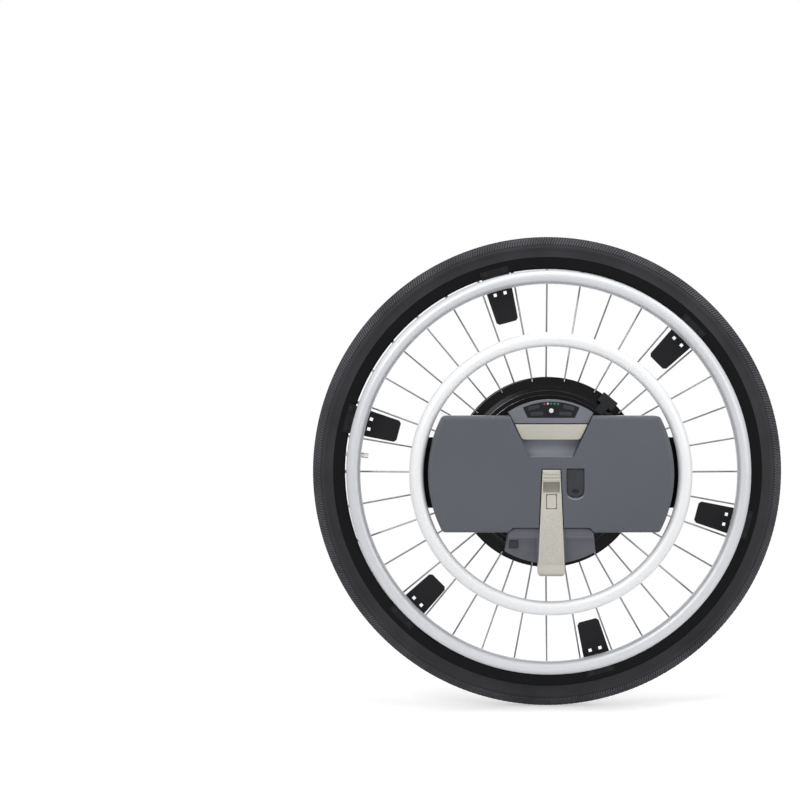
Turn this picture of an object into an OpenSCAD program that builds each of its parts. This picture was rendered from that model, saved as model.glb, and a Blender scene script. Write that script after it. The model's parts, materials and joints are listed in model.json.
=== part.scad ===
// Powered drive wheel that gives a manual wheelchair power assistance.
// Lengths are in millimetres. The axle lies along Y, the outer face looks towards -Y and Z is up.
// The origin is on the axle, where the end of the axle sleeve meets the chair.
// Every piece is drawn face on, with x to the right, y up and z outwards from the middle of the rim,
// and is then stood up.

/* [Tyre and rim] */
// Radius of the seat that the tyre sits on
bead_r = 270; // [240:1:300]
// Height of the tyre above its seat
tyre_h = 25; // [23:0.5:29]
// Width of the tyre
tyre_w = 26; // [24:0.5:30]
// Thickness of the tyre wall
tyre_wall = 4; // [3:0.25:5]
// Width of one tyre bead
bead_w = 3.4; // [2.6:0.2:4]
// Thickness of the inner tube
tube_wall = 1; // [0.8:0.1:1.6]
// Width of the rim over its walls
rim_w = 22; // [20:0.5:24]
// Height of the rim lips above the tyre seat
rim_lip = 6; // [4:0.5:8]
// Depth of the rim below the tyre seat
rim_depth = 15.5; // [14:0.5:22]
// Thickness of the rim walls
rim_wall = 2; // [1.6:0.1:2.4]
// Flat along the inner corners of the rim
rim_edge = 1.5; // [1:0.25:3]
// Depth of the well in the tyre seat
well_depth = 3; // [2:0.25:4]
// Thickness of the rim tape
tape_t = 0.8; // [0.5:0.1:1.2]
// Diameter of the valve stem
valve_d = 6; // [5:0.5:8]
// Length of the valve stem inside the rim
valve_out = 24; // [16:1:34]
// Diameter of the valve cap
cap_d = 8; // [7:0.5:10]
// Length of the valve cap
cap_len = 9; // [7:0.5:12]
// Place of the valve round the rim
valve_angle = 175; // [175:60:235]

/* [Spokes] */
// Spokes between one handrim bracket and the next
spokes_per_bracket = 6; // [4:2:8]
// Diameter of a spoke
spoke_d = 2.2; // [1.8:0.1:2.4]
// Height of the spoke holes above the hub drum
flange_hole_h = 7; // [6:0.5:8]
// Offset of the spokes from the middle of the rim
spoke_rim_z = 3; // [2:0.5:3.5]
// Thickness of a spoke head
spoke_head_t = 1; // [0.8:0.1:1.6]
// Diameter of a spoke nipple
nipple_d = 4.2; // [3.8:0.1:4.6]
// Length of a nipple inside the rim
nipple_out = 8; // [6:0.5:10]
// Diameter of a nipple head
nipple_head_d = 6.2; // [5.6:0.1:6.6]
// Height of a nipple head
nipple_head_t = 2.6; // [2:0.2:3.2]

/* [Hub motor] */
// Radius of the hub drum
hub_r = 108; // [100:1:116]
// Thickness of the drum wall
hub_wall = 6; // [5:0.5:8]
// Width of the hub over its covers
hub_w = 60; // [56:1:72]
// Thickness of the hub covers
cover_t = 4; // [3:0.5:6]
// Height of the spoke flanges
flange_h = 11; // [10:0.5:14]
// Thickness of the spoke flanges
flange_t = 5; // [4:0.5:6]
// Distance of the spoke flanges from the middle of the wheel
flange_z = 20; // [18:0.5:22]
// Height of the raised ring on the front cover
face_ring_h = 2; // [1:0.25:3]
// Width of the raised ring on the front cover
face_ring_w = 6; // [4:0.5:8]
// Height of the ribs on the rear cover
rib_h = 2; // [1:0.25:3]
// Number of ribs on the rear cover
rib_n = 12; // [6:1:16]
// Number of rear cover screws
cover_screw_n = 9; // [6:3:12]
// Thickness of the rotor ring
rotor_t = 4; // [3:0.5:5]
// Thickness of the magnets
magnet_t = 3; // [2.5:0.25:4]
// Number of magnets
magnet_n = 40; // [32:2:44]
// Share of the round that the magnets fill
magnet_share = 0.84; // [0.7:0.02:0.92]
// Gap between magnets and stator
air_gap = 0.8; // [0.6:0.1:1.2]
// Width of the stator stack
stack_w = 24; // [18:1:26]
// Number of stator teeth
tooth_n = 36; // [30:3:39]
// Radial length of the stator teeth
tooth_len = 20; // [16:0.5:24]
// Height of the tooth tips
tip_h = 3; // [2:0.5:4]
// Width of a tooth stem
tooth_w = 6; // [5:0.25:6.5]
// Width of the slot opening between two teeth
slot_open = 2.4; // [2:0.2:3]
// Thickness of the stator yoke
yoke_t = 8; // [6:0.5:10]
// Thickness of one side of a coil
coil_t = 2.4; // [1.8:0.2:2.6]
// Width of the motor board
motor_board_w = 19.5; // [14:0.5:19.5]
// Inner radius of the bearings
bearing_in_r = 15; // [14:0.5:16]
// Radial height of the bearings
bearing_h = 12.5; // [11:0.5:14]
// Width of the bearings
bearing_w = 13; // [11:0.5:14]
// Number of balls in one bearing
ball_n = 11; // [9:1:12]

/* [Push rim] */
// Radius of the push rim along its tube
push_rim_r = 243.5; // [240:0.5:244]
// Diameter of the push rim tube
push_tube_d = 17.5; // [14:0.5:20]
// Distance of the push rim from the middle of the wheel
push_rim_z = 38; // [36:0.5:44]
// Wall of both ring tubes
ring_wall = 2; // [1.5:0.25:3]
// Number of push rim brackets
bracket_n = 6; // [6:1:6]
// Thickness of a bracket
bracket_t = 3; // [2.5:0.25:4]
// Reach of a bracket inside the push rim
bracket_reach = 50; // [40:1:56]
// Extra half width of a bracket at the rim
bracket_flare = 4.5; // [3:0.5:6]
// Lap of a bracket over the rim wall
bracket_lap = 8; // [7:0.5:9]
// Distance of the bracket screws from the bracket middle
bracket_screw_y = 12; // [10:0.5:14]
// Diameter of a push rim stud
stud_d = 8; // [7:0.5:9]
// Turn of the push rim to each side
push_turn = 1.5; // [1:0.25:1.75]
// Rubber round a stud
bush_t = 2.5; // [2:0.25:3]

/* [Control ring] */
// Radius of the control ring along its tube
control_ring_r = 165.5; // [162:0.5:175]
// Diameter of the control ring tube
control_tube_d = 17.5; // [15:0.5:19]
// Distance of the control ring behind the battery face
control_ring_drop = 13; // [11:0.5:16]
// Turn of the control ring to each side
control_turn = 8; // [4:0.5:9]
// Thickness of the ring carrier
carrier_t = 5; // [4:0.5:6]
// Radius of the carrier disc
carrier_r = 70; // [64:1:78]
// Half height of a carrier arm at the ring
arm_half = 44; // [36:1:48]
// Half height of a carrier arm at the disc
arm_root_half = 28; // [20:1:34]
// Radial thickness of the wall behind the control ring
arm_wall = 8; // [6:0.5:9]
// Radius of the journal the carrier turns on
journal_r = 24; // [22.5:0.5:26]

/* [Hub console] */
// Radius of the console base
dock_r = 88; // [84:0.5:90]
// Thickness of the console base
dock_t = 6.5; // [6:0.25:8]
// Radius of the spigot that centres the battery
spigot_r = 32; // [30:0.5:34]
// Height of the spigot that centres the battery
spigot_h = 10; // [8:0.5:11]
// Radius of the control panel arc
panel_r = 91.5; // [90.5:0.5:94]
// Height of the lower edge of the control panel above the axle
panel_y0 = 62.4; // [61.5:0.25:64]
// Distance of the control panel behind the battery face
panel_drop = 5; // [3:0.5:8]
// Wall of the console covers
console_wall = 2.5; // [2:0.25:3]
// Depth of the keypad sheet
keypad_t = 1; // [0.6:0.1:1.2]
// Half width of the keypad sheet
keypad_half = 34.5; // [30:0.5:38]
// Radius of the power button
button_r = 5.5; // [4:0.25:6]
// Height of the power button above the axle
button_y = 78; // [76.5:0.25:79]
// Travel of the power button
button_travel = 0.8; // [0.5:0.1:1]
// Number of status lights
light_n = 5; // [3:2:7]
// Radius of a status light
light_r = 1.3; // [1:0.1:1.4]
// Distance between status lights
light_pitch = 4.2; // [3.6:0.1:5]
// Radius of the lower cover arc
lower_r = 111; // [108:0.5:113]
// Half width of the lower cover at the battery
lower_half = 46; // [42:0.5:50]
// Half width of the lower cover at its arc
lower_foot_half = 58; // [54:0.5:64]
// Depth of the step in the lower edge of the battery
lower_step = 5.9; // [4:0.1:9]
// Radius of the finger scoops in the lower cover
scoop_r = 30; // [26:0.5:34]
// Side of the service plug
plug_side = 10.7; // [8:0.1:12]

/* [Battery] */
// Height of the battery
battery_h = 143; // [140:0.5:150]
// Thickness of the battery
battery_t = 46; // [44:0.5:52]
// Gap between the battery ends and the control ring
battery_end_gap = 5.75; // [4:0.25:8]
// Rounding of the battery corners
battery_corner = 7; // [4:0.5:10]
// Rounding of the battery face edge
battery_edge = 5; // [3:0.5:7]
// Wall of the battery case
case_wall = 2.5; // [2:0.25:3]
// Depth of the rear half of the battery case
rear_t = 15; // [13:0.5:17]
// Half width of the notch at the top of the battery
notch_top_half = 50.8; // [49.5:0.2:53]
// Half width of the notch at its floor
notch_foot_half = 27; // [25:0.5:29]
// Height of the notch floor above the axle
notch_y0 = 20.9; // [19:0.25:23]
// Depth of the finger hollow behind the grip plate
hollow_depth = 21; // [18:0.5:21.5]
// Height of the grip plate
grip_h = 18.8; // [15:0.5:21]
// Thickness of the grip plate
grip_t = 3.5; // [2.5:0.25:5]
// Radius of a battery cell
cell_r = 9.1; // [8.6:0.1:9.2]
// Length of a battery cell
cell_len = 65; // [60:0.5:65.5]
// Distance between cells
cell_pitch = 19.5; // [19:0.1:20]
// Cells side by side at each end of the battery
cell_columns = 3; // [2:1:3]

/* [Lock lever] */
// Length of the lever above its hinge
lever_len = 121.5; // [118:0.5:124]
// Half width of the lever at its top
lever_top_half = 10.9; // [10:0.1:12]
// Half width of the lever at its hinge
lever_foot_half = 16.3; // [15.6:0.1:17.5]
// Thickness of the lever face
lever_t = 2.5; // [2:0.25:3]
// Depth of the lever channel
lever_depth = 6.5; // [6:0.25:7]
// Radius of the lever nose
nose_r = 9.5; // [9.25:0.25:10.5]
// Height of the lever face above the battery face
lever_proud = 2; // [1:0.25:3]
// Width of one lever cheek
cheek_w = 5; // [4:0.25:5.25]
// Diameter of the lever pin
lever_pin_d = 5; // [4:0.5:6]
// Length of the thumb latch
latch_len = 28; // [24:0.5:30]
// Travel of the thumb latch
latch_travel = 1.5; // [1:0.1:1.6]
// Side of the lever button
lever_button_side = 13; // [11:0.5:14]
// Travel of the lever button
lever_button_travel = 1.2; // [0.8:0.1:1.4]

/* [Charge flap] */
// Width of the charge flap
flap_w = 21; // [18:0.5:22]
// Height of the charge flap
flap_h = 34; // [28:0.5:36]
// Thickness of the charge flap
flap_t = 2; // [1.6:0.1:2.4]
// Distance of the flap middle from the lever middle
flap_x = 29.5; // [28:0.25:32]
// Height of the flap hinge above the axle
flap_y = 6; // [4:0.5:8]
// Radius of the charge socket
socket_r = 8; // [6:0.25:8.5]

/* [Axle] */
// Radius of the quick release axle
pin_r = 6.35; // [6:0.05:6.6]
// Length of the axle past the sleeve
pin_out = 72; // [60:1:90]
// Radius of a lock ball
lock_ball_r = 2.2; // [2:0.05:2.4]
// Distance the lock balls stand out
lock_ball_out = 1.2; // [0.9:0.05:1.3]
// Travel of the release plunger
plunger_travel = 5; // [4:0.25:6]
// Radius of the torque plate
plate_r = 46; // [44:0.5:49]
// Thickness of the torque plate
plate_t = 7; // [6:0.5:9]
// Number of torque pins
torque_pin_n = 4; // [2:1:6]
// Radius of the torque pin circle
torque_circle_r = 32; // [30:0.5:36]
// Diameter of a torque pin
torque_pin_d = 8; // [6:0.5:9]
// Length of the torque pins past the plate
torque_pin_out = 16; // [12:0.5:20]

/* [Hidden] */
$fn = 96;

// Overrun of a cut past the face it opens
cut = 1;
// Clearance between pieces that slip together
fit_gap = 0.2;
// Clearance of a part that turns on a round seat
turn_gap = 0.05;
// Clearance between faces that slide past one another
slide_gap = 0.3;
// Clearance between pieces that pass without touching
run_gap = 1;

// Tyre and rim
tyre_r = bead_r + tyre_h;
section_r = tyre_r - tyre_w / 2;
lip_r = bead_r + rim_lip;
bed_r = bead_r - rim_depth;
well_r = bead_r - well_depth;
rim_half = rim_w / 2;
bead_out = rim_half - rim_wall - fit_gap;
bead_in = bead_out - bead_w;
shelf_r = lip_r + fit_gap + bead_w;
cavity_r = tyre_w / 2 - tyre_wall;
hollow_r0 = bed_r + rim_wall;
hollow_r1 = well_r - rim_wall;
hollow_half = rim_half - rim_wall;
valve_r = valve_d / 2;

// Spokes
spoke_n = bracket_n * spokes_per_bracket;
spoke_step = 360 / spoke_n;
flange_r = hub_r + flange_h;
flange_hole_r = hub_r + flange_hole_h;
spoke_run = bed_r - flange_hole_r;
flange_edge_share = (flange_r - flange_hole_r) / spoke_run;
spoke_clear_z = flange_z + flange_t / 2 + spoke_d / 2 + fit_gap;
spoke_hub_z = (spoke_clear_z - flange_edge_share * spoke_rim_z) / (1 - flange_edge_share);
spoke_rise = spoke_hub_z - spoke_rim_z;
spoke_len = norm([spoke_run, spoke_rise]);
spoke_tilt = atan2(spoke_run, -spoke_rise);
spoke_stub = spoke_hub_z - flange_z + flange_t / 2 + spoke_head_t;
nipple_seat = rim_wall + nipple_head_d / 2 * spoke_rise / spoke_run + fit_gap;
access_r = nipple_head_d / 2 + fit_gap;

// Hub motor
hub_front = hub_w / 2;
drum_in = hub_r - hub_wall;
bearing_out_r = bearing_in_r + bearing_h;
bearing_lip_t_share = 0.75;
bearing_front = hub_front - cover_t * bearing_lip_t_share;
bearing_back = bearing_front - bearing_w;
race_t = bearing_h * 0.28;
ball_r = (bearing_h - 2 * race_t) / 2 + race_t * 0.15;
ball_track_r = bearing_in_r + bearing_h / 2;
boss_r = bearing_out_r + hub_wall;
lip_bore_r = bearing_out_r - race_t;
nose_in_r = bearing_in_r + race_t;
shoulder_r = bearing_in_r + race_t * 0.7;
rotor_r = drum_in;
magnet_r = rotor_r - rotor_t;
stator_r = magnet_r - magnet_t - air_gap;
slot_r1 = stator_r - tip_h;
slot_r0 = stator_r - tooth_len;
yoke_r = slot_r0 - yoke_t;
magnet_w = stack_w + 2 * cut;
carrier_rim_r = yoke_r - hub_wall;
spider_t = stack_w * 0.4;
cover_screw_r = hub_r - hub_wall / 2;
cover_screw_d = hub_wall * 0.55;
face_ring_r = drum_in - face_ring_w / 2;

// Push rim and brackets
push_tube_r = push_tube_d / 2;
bracket_z0 = rim_half;
bracket_z1 = bracket_z0 + bracket_t;
bracket_in_r = push_rim_r - bracket_reach;
bracket_out_r = bed_r + bracket_lap;
bracket_half_in = bracket_in_r * tan(spoke_step / 2) - spoke_d / 2 - 2 * run_gap;
bracket_half_out = bracket_half_in + bracket_flare;
bracket_angle = (floor(45 / spoke_step) + 0.5) * spoke_step;
bracket_screw_r = bed_r + bracket_lap / 2;
bracket_screw_d = bracket_lap * 0.45;
stud_r = stud_d / 2;
slot_half = push_rim_r * sin(push_turn) + slide_gap;
slot_half_angle = asin(slot_half / push_rim_r);
slot_r = stud_r + bush_t;
stud_collar_t = stud_d * 0.35;
stud_nut_t = stud_d * 0.7;

// Control ring and console, from the hub outwards
control_tube_r = control_tube_d / 2;
pod_over = face_ring_h * 0.6;
carrier_z0 = hub_front + face_ring_h + pod_over + run_gap;
carrier_z1 = carrier_z0 + carrier_t;
dock_z0 = carrier_z1 + slide_gap;
dock_z1 = dock_z0 + dock_t;
journal_z0 = hub_front + run_gap;
battery_z0 = dock_z1 + run_gap;
battery_z1 = battery_z0 + battery_t;
control_ring_z = battery_z1 - control_ring_drop;
arm_r1 = control_ring_r + arm_wall / 2;
arm_r0 = control_ring_r - arm_wall / 2;
arm_angle = asin(arm_half / control_ring_r);
stop_r = (journal_r + carrier_r) / 2;
stop_pin_r = carrier_t * 0.8;
stop_slot_r = stop_pin_r + bush_t;
stop_half_angle = control_turn + asin(slide_gap / stop_r);
axle_nut_r = bearing_in_r * 1.45;
axle_nut_t = bearing_in_r / 3;
sleeve_z1 = dock_z1 + axle_nut_t + run_gap;
spigot_z1 = dock_z1 + spigot_h;
plate_z1 = -(hub_front + rib_h + run_gap);
plate_z0 = plate_z1 - plate_t;
sleeve_z0 = plate_z0 - axle_nut_t - run_gap;

// Battery
battery_half = battery_h / 2;
battery_r = control_ring_r - control_tube_r - battery_end_gap;
split_z = battery_z0 + rear_t;
notch_slope = (notch_top_half - notch_foot_half) / (battery_half - notch_y0);
function notch_half(y) = notch_foot_half + (y - notch_y0) * notch_slope;
through_y = panel_y0 - run_gap;
hollow_z = battery_z1 - hollow_depth;
grip_y1 = through_y - fit_gap;
grip_y0 = grip_y1 - grip_h;
grip_z1 = battery_z1 - grip_t;
post_r = grip_h * 0.25;
post_x = notch_foot_half * 0.9;
step_y = -(battery_half - lower_step);
case_r = battery_r - case_wall;
cup_r = spigot_r + run_gap;
cup_z1 = hollow_z - case_wall - fit_gap;
cell_x0 = notch_top_half + case_wall + cell_r + run_gap;
cell_y = cell_len / 2 + run_gap;
cell_z0 = battery_z0 + case_wall + cell_r + fit_gap;
cell_z1 = battery_z1 - case_wall - cell_r - fit_gap;
holder_t = cell_len * 0.07;
holder_y = cell_len * 0.27;
contact_y = -(cup_r + battery_half) * 0.45;
contact_x = spigot_r * 0.7;
contact_h = spigot_r * 0.44;
contact_t = spigot_h * 0.8;
board_t = case_wall * 0.64;
board_z = hollow_z - board_t;
screw_r = case_wall * 0.6;
screw_head_r = screw_r * 2;
screw_boss_r = screw_r + case_wall;
battery_screw_x = battery_r - case_wall - screw_boss_r * 0.7;
battery_screw_x2 = cell_x0 - cell_r - screw_boss_r - 3 * run_gap;
battery_screw_y1 = notch_y0 + screw_boss_r * 3;
battery_screw_y0 = -battery_half * 0.77;

// Console covers
panel_z1 = battery_z1 - panel_drop;
panel_gap = run_gap;
keypad_y0 = panel_y0 + console_wall * 2.7;
keypad_r = panel_r - console_wall;
light_row_r = keypad_r - light_r * 1.8;
light_step = 2 * asin(light_pitch / light_row_r / 2);
lower_top = step_y - run_gap;
lower_side_gap = run_gap;

// Lock lever
lever_front = battery_z1 + lever_proud;
lever_back = lever_front - lever_depth;
groove_z = lever_back - slide_gap;
lever_z = lever_front - nose_r;
lever_y = -(lower_r + nose_r * 0.53);
lever_top = lever_y + lever_len;
lever_taper = (lever_foot_half - lever_top_half) / lever_len;
function lever_half(y) = lever_top_half + (lever_top - y) * lever_taper;
lever_gap = run_gap * 1.2;
lever_pin_r = lever_pin_d / 2;
lug_half = lever_foot_half - cheek_w - slide_gap;
lug_r = nose_r - lever_t - slide_gap * 1.5;
lower_z1 = groove_z;
latch_y0 = lever_top - latch_len;
latch_base_t = lever_depth * 0.26;
latch_z0 = lever_front - lever_t * 1.24;
latch_peg_r = lever_top_half * 0.23;
latch_peg_y = latch_len * 0.25;
latch_peg_z = lever_back + latch_travel * 0.85;
lever_button_y = latch_y0 - 1.7 * run_gap;
lever_button_h = lever_button_side * 1.4;
shelf_t = lever_t * 0.6;

// Charge flap
flap_z1 = battery_z1 - fit_gap * 5;
flap_z0 = flap_z1 - flap_t;
flap_pocket_z = flap_z0 - slide_gap;
flap_gap = slide_gap * 1.4;
flap_round = flap_w * 0.4;
flap_room = flap_t * 0.45;
socket_y = flap_y - flap_h * 0.5;
socket_len = case_wall * 5;

// Axle
shank_r = pin_r * 1.1;
tip_r = pin_r * 0.96;
sleeve_bore_r = shank_r + turn_gap;
pin_z0 = sleeve_z0 - pin_out;
lock_ball_z = pin_z0 + lock_ball_r * 2.7;
land_z0 = lock_ball_z + lock_ball_r + run_gap;
lock_ball_y = pin_r + lock_ball_out - lock_ball_r;
lock_ball_drop = lock_ball_out + slide_gap / 3;
rod_r = lock_ball_y - lock_ball_r - slide_gap * 1.8;
rod_neck_r = rod_r - lock_ball_drop + slide_gap * 0.7;
torque_root_r = torque_pin_d * 0.6;
pin_collar_r = pin_r * 1.6;
pin_collar_t = pin_r * 0.5;
knob_r = pin_r * 0.95;
knob_t = pin_r * 0.6;
knob_z0 = sleeve_z1 + pin_collar_t + plunger_travel + fit_gap;

// Colours
black = [0.03, 0.03, 0.035];
rubber = [0.07, 0.07, 0.075];
slate = [0.30, 0.31, 0.34];
silver = [0.78, 0.79, 0.80];
steel = [0.62, 0.63, 0.65];
champagne = [0.70, 0.67, 0.60];
copper = [0.72, 0.40, 0.20];
board_green = [0.05, 0.25, 0.14];
white = [0.90, 0.90, 0.90];

// Stands a piece drawn face on with its axle along Y and the end of the axle sleeve at the origin
module stand() {
    translate([0, sleeve_z0, 0]) rotate([90, 0, 0]) children();
}

// Repeats a piece evenly round the axle
module round_axle(n, start = 0) {
    for (i = [0 : n - 1]) rotate([0, 0, start + i * 360 / n]) children();
}

// Hollow cylinder between two depths
module sleeve(ro, ri, z0, z1) {
    translate([0, 0, z0]) difference() {
        cylinder(r = ro, h = z1 - z0);
        translate([0, 0, -cut]) cylinder(r = ri, h = z1 - z0 + 2 * cut);
    }
}

// Solid cylinder between two depths
module rod(r, z0, z1) {
    translate([0, 0, z0]) cylinder(r = r, h = z1 - z0);
}

// Flat outline raised between two depths
module slab(z0, z1) {
    translate([0, 0, z0]) linear_extrude(height = z1 - z0) children();
}

// Cylinder lying along x
module cross_rod(r, x0, x1) {
    translate([x0, 0, 0]) rotate([0, 90, 0]) cylinder(r = r, h = x1 - x0);
}

// Solid ring of round section
module torus(ring_r, r) {
    rotate_extrude() translate([ring_r, 0]) circle(r = r);
}

// Rectangle between two corners
module box2(x0, y0, x1, y1) {
    translate([x0, y0]) square([x1 - x0, y1 - y0]);
}

// Block between two corners
module box3(x0, y0, z0, x1, y1, z1) {
    translate([x0, y0, z0]) cube([x1 - x0, y1 - y0, z1 - z0]);
}

// Section of the tyre
module tyre_section() {
    difference() {
        intersection() {
            translate([section_r, 0]) circle(d = tyre_w);
            box2(lip_r + fit_gap, -tyre_w, tyre_r + cut, tyre_w);
        }
        intersection() {
            translate([section_r, 0]) circle(r = cavity_r);
            box2(shelf_r, -tyre_w, tyre_r, tyre_w);
        }
        box2(bead_r, -bead_in, section_r, bead_in);
    }
    for (side = [-1, 1])
        translate([bead_r + fit_gap, side * (bead_in + bead_w / 2) - bead_w / 2])
            square([rim_lip + bead_w / 2, bead_w]);
}

module tyre() {
    color(rubber) stand() rotate_extrude($fn = 180) tyre_section();
}

// Section of the inner tube, smaller by the named inset
module tube_section(inset) {
    intersection() {
        translate([section_r, 0]) circle(r = cavity_r - fit_gap - inset);
        box2(shelf_r + fit_gap + inset, -tyre_w, tyre_r, tyre_w);
    }
}

// Place and direction of the valve, with z along the stem
module at_valve() {
    rotate([0, 0, valve_angle]) rotate([0, 90, 0]) children();
}

module inner_tube() {
    color(black) stand() difference() {
        rotate_extrude() tube_section(0);
        rotate_extrude() tube_section(tube_wall);
        at_valve() rod(valve_r, bed_r, shelf_r + fit_gap + 2 * tube_wall);
    }
}

module rim_tape() {
    color(white) stand() difference() {
        sleeve(well_r + tape_t, well_r, -bead_in + fit_gap, bead_in - fit_gap);
        at_valve() rod(valve_r + fit_gap, bed_r, bead_r + cut);
    }
}

// Section of the hollow rim
module rim_section() {
    difference() {
        polygon([
            [lip_r, rim_half], [bed_r + rim_edge, rim_half], [bed_r, rim_half - rim_edge],
            [bed_r, -rim_half + rim_edge], [bed_r + rim_edge, -rim_half], [lip_r, -rim_half],
            [lip_r, -hollow_half], [bead_r, -hollow_half], [bead_r, -bead_in], [well_r, -bead_in],
            [well_r, bead_in], [bead_r, bead_in], [bead_r, hollow_half], [lip_r, hollow_half]
        ]);
        box2(hollow_r0, -hollow_half, hollow_r1, hollow_half);
    }
}

// Line of one spoke, from its bend at the hub to the rim
module spoke_line(side) {
    mirror([0, 0, side < 0 ? 1 : 0]) translate([flange_hole_r, 0, spoke_hub_z])
        rotate([0, spoke_tilt, 0]) children();
}

// Repeats a piece at each spoke of one side
module at_spokes(side) {
    round_axle(spoke_n / 2, side < 0 ? spoke_step : 0) children();
}

module rim() {
    color(black) stand() difference() {
        rotate_extrude($fn = 180) rim_section();
        for (side = [-1, 1]) at_spokes(side) spoke_line(side) {
            rod(nipple_d / 2 + fit_gap, spoke_len - cut, spoke_len + rim_wall + cut);
            rod(access_r, spoke_len + (hollow_r1 - bed_r) - cut, spoke_len + rim_depth);
        }
        at_brackets() rod(bracket_screw_d / 2, hollow_half - cut, rim_half + cut);
        at_valve() rod(valve_r + fit_gap, bed_r - cut, bead_r + cut);
    }
}

module valve_stem() {
    color(steel) stand() at_valve() {
        rod(valve_r, bed_r - valve_out, shelf_r + fit_gap + tube_wall);
        rod(cap_d / 2, bed_r - valve_out - cap_len / 2, bed_r - valve_out + cap_len / 2);
    }
}

// One spoke with its bend and head
module spoke(side) {
    spoke_line(side) cylinder(d = spoke_d, h = spoke_len + rim_wall);
    mirror([0, 0, side < 0 ? 1 : 0]) translate([flange_hole_r, 0, spoke_hub_z]) {
        sphere(d = spoke_d);
        translate([0, 0, -spoke_stub]) {
            cylinder(d = spoke_d, h = spoke_stub);
            cylinder(r = spoke_d, h = spoke_head_t);
        }
    }
}

module outer_spokes() {
    color(steel) stand() at_spokes(1) spoke(1);
}

module inner_spokes() {
    color(steel) stand() at_spokes(-1) spoke(-1);
}

module spoke_nipples() {
    color(silver) stand() for (side = [-1, 1]) at_spokes(side) spoke_line(side) {
        head = spoke_len + nipple_seat;
        sleeve(nipple_d / 2, spoke_d / 2 + turn_gap, spoke_len - nipple_out, head + nipple_head_t);
        sleeve(nipple_head_d / 2, spoke_d / 2 + turn_gap, head, head + nipple_head_t);
    }
}

// Section of the hub drum with its front cover
module hub_section() {
    floor_z = hub_front - cover_t;
    polygon([
        [lip_bore_r, hub_front], [face_ring_r - face_ring_w / 2, hub_front],
        [face_ring_r - face_ring_w / 2, hub_front + face_ring_h],
        [face_ring_r + face_ring_w / 2, hub_front + face_ring_h],
        [face_ring_r + face_ring_w / 2, hub_front], [hub_r, hub_front - face_ring_h],
        [hub_r, flange_z + flange_t / 2], [flange_r, flange_z + flange_t / 2],
        [flange_r, flange_z - flange_t / 2], [hub_r, flange_z - flange_t / 2],
        [hub_r, -flange_z + flange_t / 2], [flange_r, -flange_z + flange_t / 2],
        [flange_r, -flange_z - flange_t / 2], [hub_r, -flange_z - flange_t / 2],
        [hub_r, -floor_z], [drum_in, -floor_z], [drum_in, floor_z], [boss_r, floor_z],
        [boss_r, bearing_back], [bearing_out_r, bearing_back], [bearing_out_r, bearing_front],
        [lip_bore_r, bearing_front]
    ]);
}

module hub_shell() {
    color(black) stand() difference() {
        rotate_extrude($fn = 180) hub_section();
        for (side = [-1, 1]) at_spokes(side) mirror([0, 0, side < 0 ? 1 : 0])
            translate([flange_hole_r, 0, 0])
                rod(spoke_d / 2 + fit_gap, flange_z - flange_t, flange_z + flange_t);
        round_axle(cover_screw_n) translate([cover_screw_r, 0, 0])
            rod(cover_screw_d / 2, -hub_front, -hub_front + cover_t * 3);
    }
}

module hub_rear_cover() {
    floor_z = -hub_front + cover_t;
    rib_r0 = plate_r + 3 * run_gap;
    rib_r1 = drum_in - face_ring_w;
    color(black) stand() difference() {
        union() {
            rotate_extrude() polygon([
                [lip_bore_r, -hub_front], [hub_r - rib_h, -hub_front], [hub_r, -hub_front + rib_h],
                [hub_r, floor_z], [boss_r, floor_z], [boss_r, -bearing_back],
                [bearing_out_r, -bearing_back], [bearing_out_r, -bearing_front],
                [lip_bore_r, -bearing_front]
            ]);
            round_axle(rib_n)
                box3(rib_r0, -rib_h, -hub_front - rib_h, rib_r1, rib_h, floor_z - cover_t / 2);
        }
        round_axle(cover_screw_n) translate([cover_screw_r, 0, 0])
            rod(cover_screw_d / 2 + fit_gap, -hub_front - cut, floor_z + cut);
    }
}

module hub_cover_screws() {
    color(steel) stand() round_axle(cover_screw_n) translate([cover_screw_r, 0, 0]) {
        rod(cover_screw_d / 2, -hub_front, -hub_front + cover_t * 3);
        difference() {
            rod(cover_screw_d * 0.75, -hub_front - cover_screw_d / 2, -hub_front);
            translate([0, 0, -hub_front - cover_screw_d / 2 - cut])
                cylinder(r = cover_screw_d * 0.35, h = cover_screw_d / 4 + cut, $fn = 6);
        }
    }
}

module rotor_ring() {
    color(steel) stand() sleeve(rotor_r, magnet_r, -magnet_w / 2, magnet_w / 2);
}

module rotor_magnets() {
    span = 360 / magnet_n * magnet_share;
    color(silver) stand() round_axle(magnet_n, -span / 2)
        rotate_extrude(angle = span)
            box2(magnet_r - magnet_t, -magnet_w / 2, magnet_r - turn_gap, magnet_w / 2);
}

// Repeats a piece at both bearings, drawn from the inner face outwards
module at_bearings() {
    for (side = [0, 1]) mirror([0, 0, side]) translate([0, 0, bearing_back]) children();
}

// Track that the balls of one bearing run in
module ball_track() {
    translate([0, 0, bearing_w / 2]) torus(ball_track_r, ball_r + slide_gap);
}

module bearing_outer_rings() {
    color(steel) stand() at_bearings() difference() {
        sleeve(bearing_out_r, bearing_out_r - race_t, 0, bearing_w);
        ball_track();
    }
}

module bearing_inner_rings() {
    color(steel) stand() at_bearings() difference() {
        sleeve(bearing_in_r + race_t, bearing_in_r, 0, bearing_w);
        ball_track();
    }
}

module bearing_balls() {
    color(silver) stand() at_bearings() round_axle(ball_n)
        translate([ball_track_r, 0, bearing_w / 2]) sphere(r = ball_r);
}

// Places of the push rim brackets
module at_bracket_places() {
    round_axle(bracket_n, bracket_angle) children();
}

// Places of the bracket screws
module at_brackets() {
    at_bracket_places() for (side = [-1, 1])
        translate([bracket_screw_r, side * bracket_screw_y, 0]) children();
}

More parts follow.
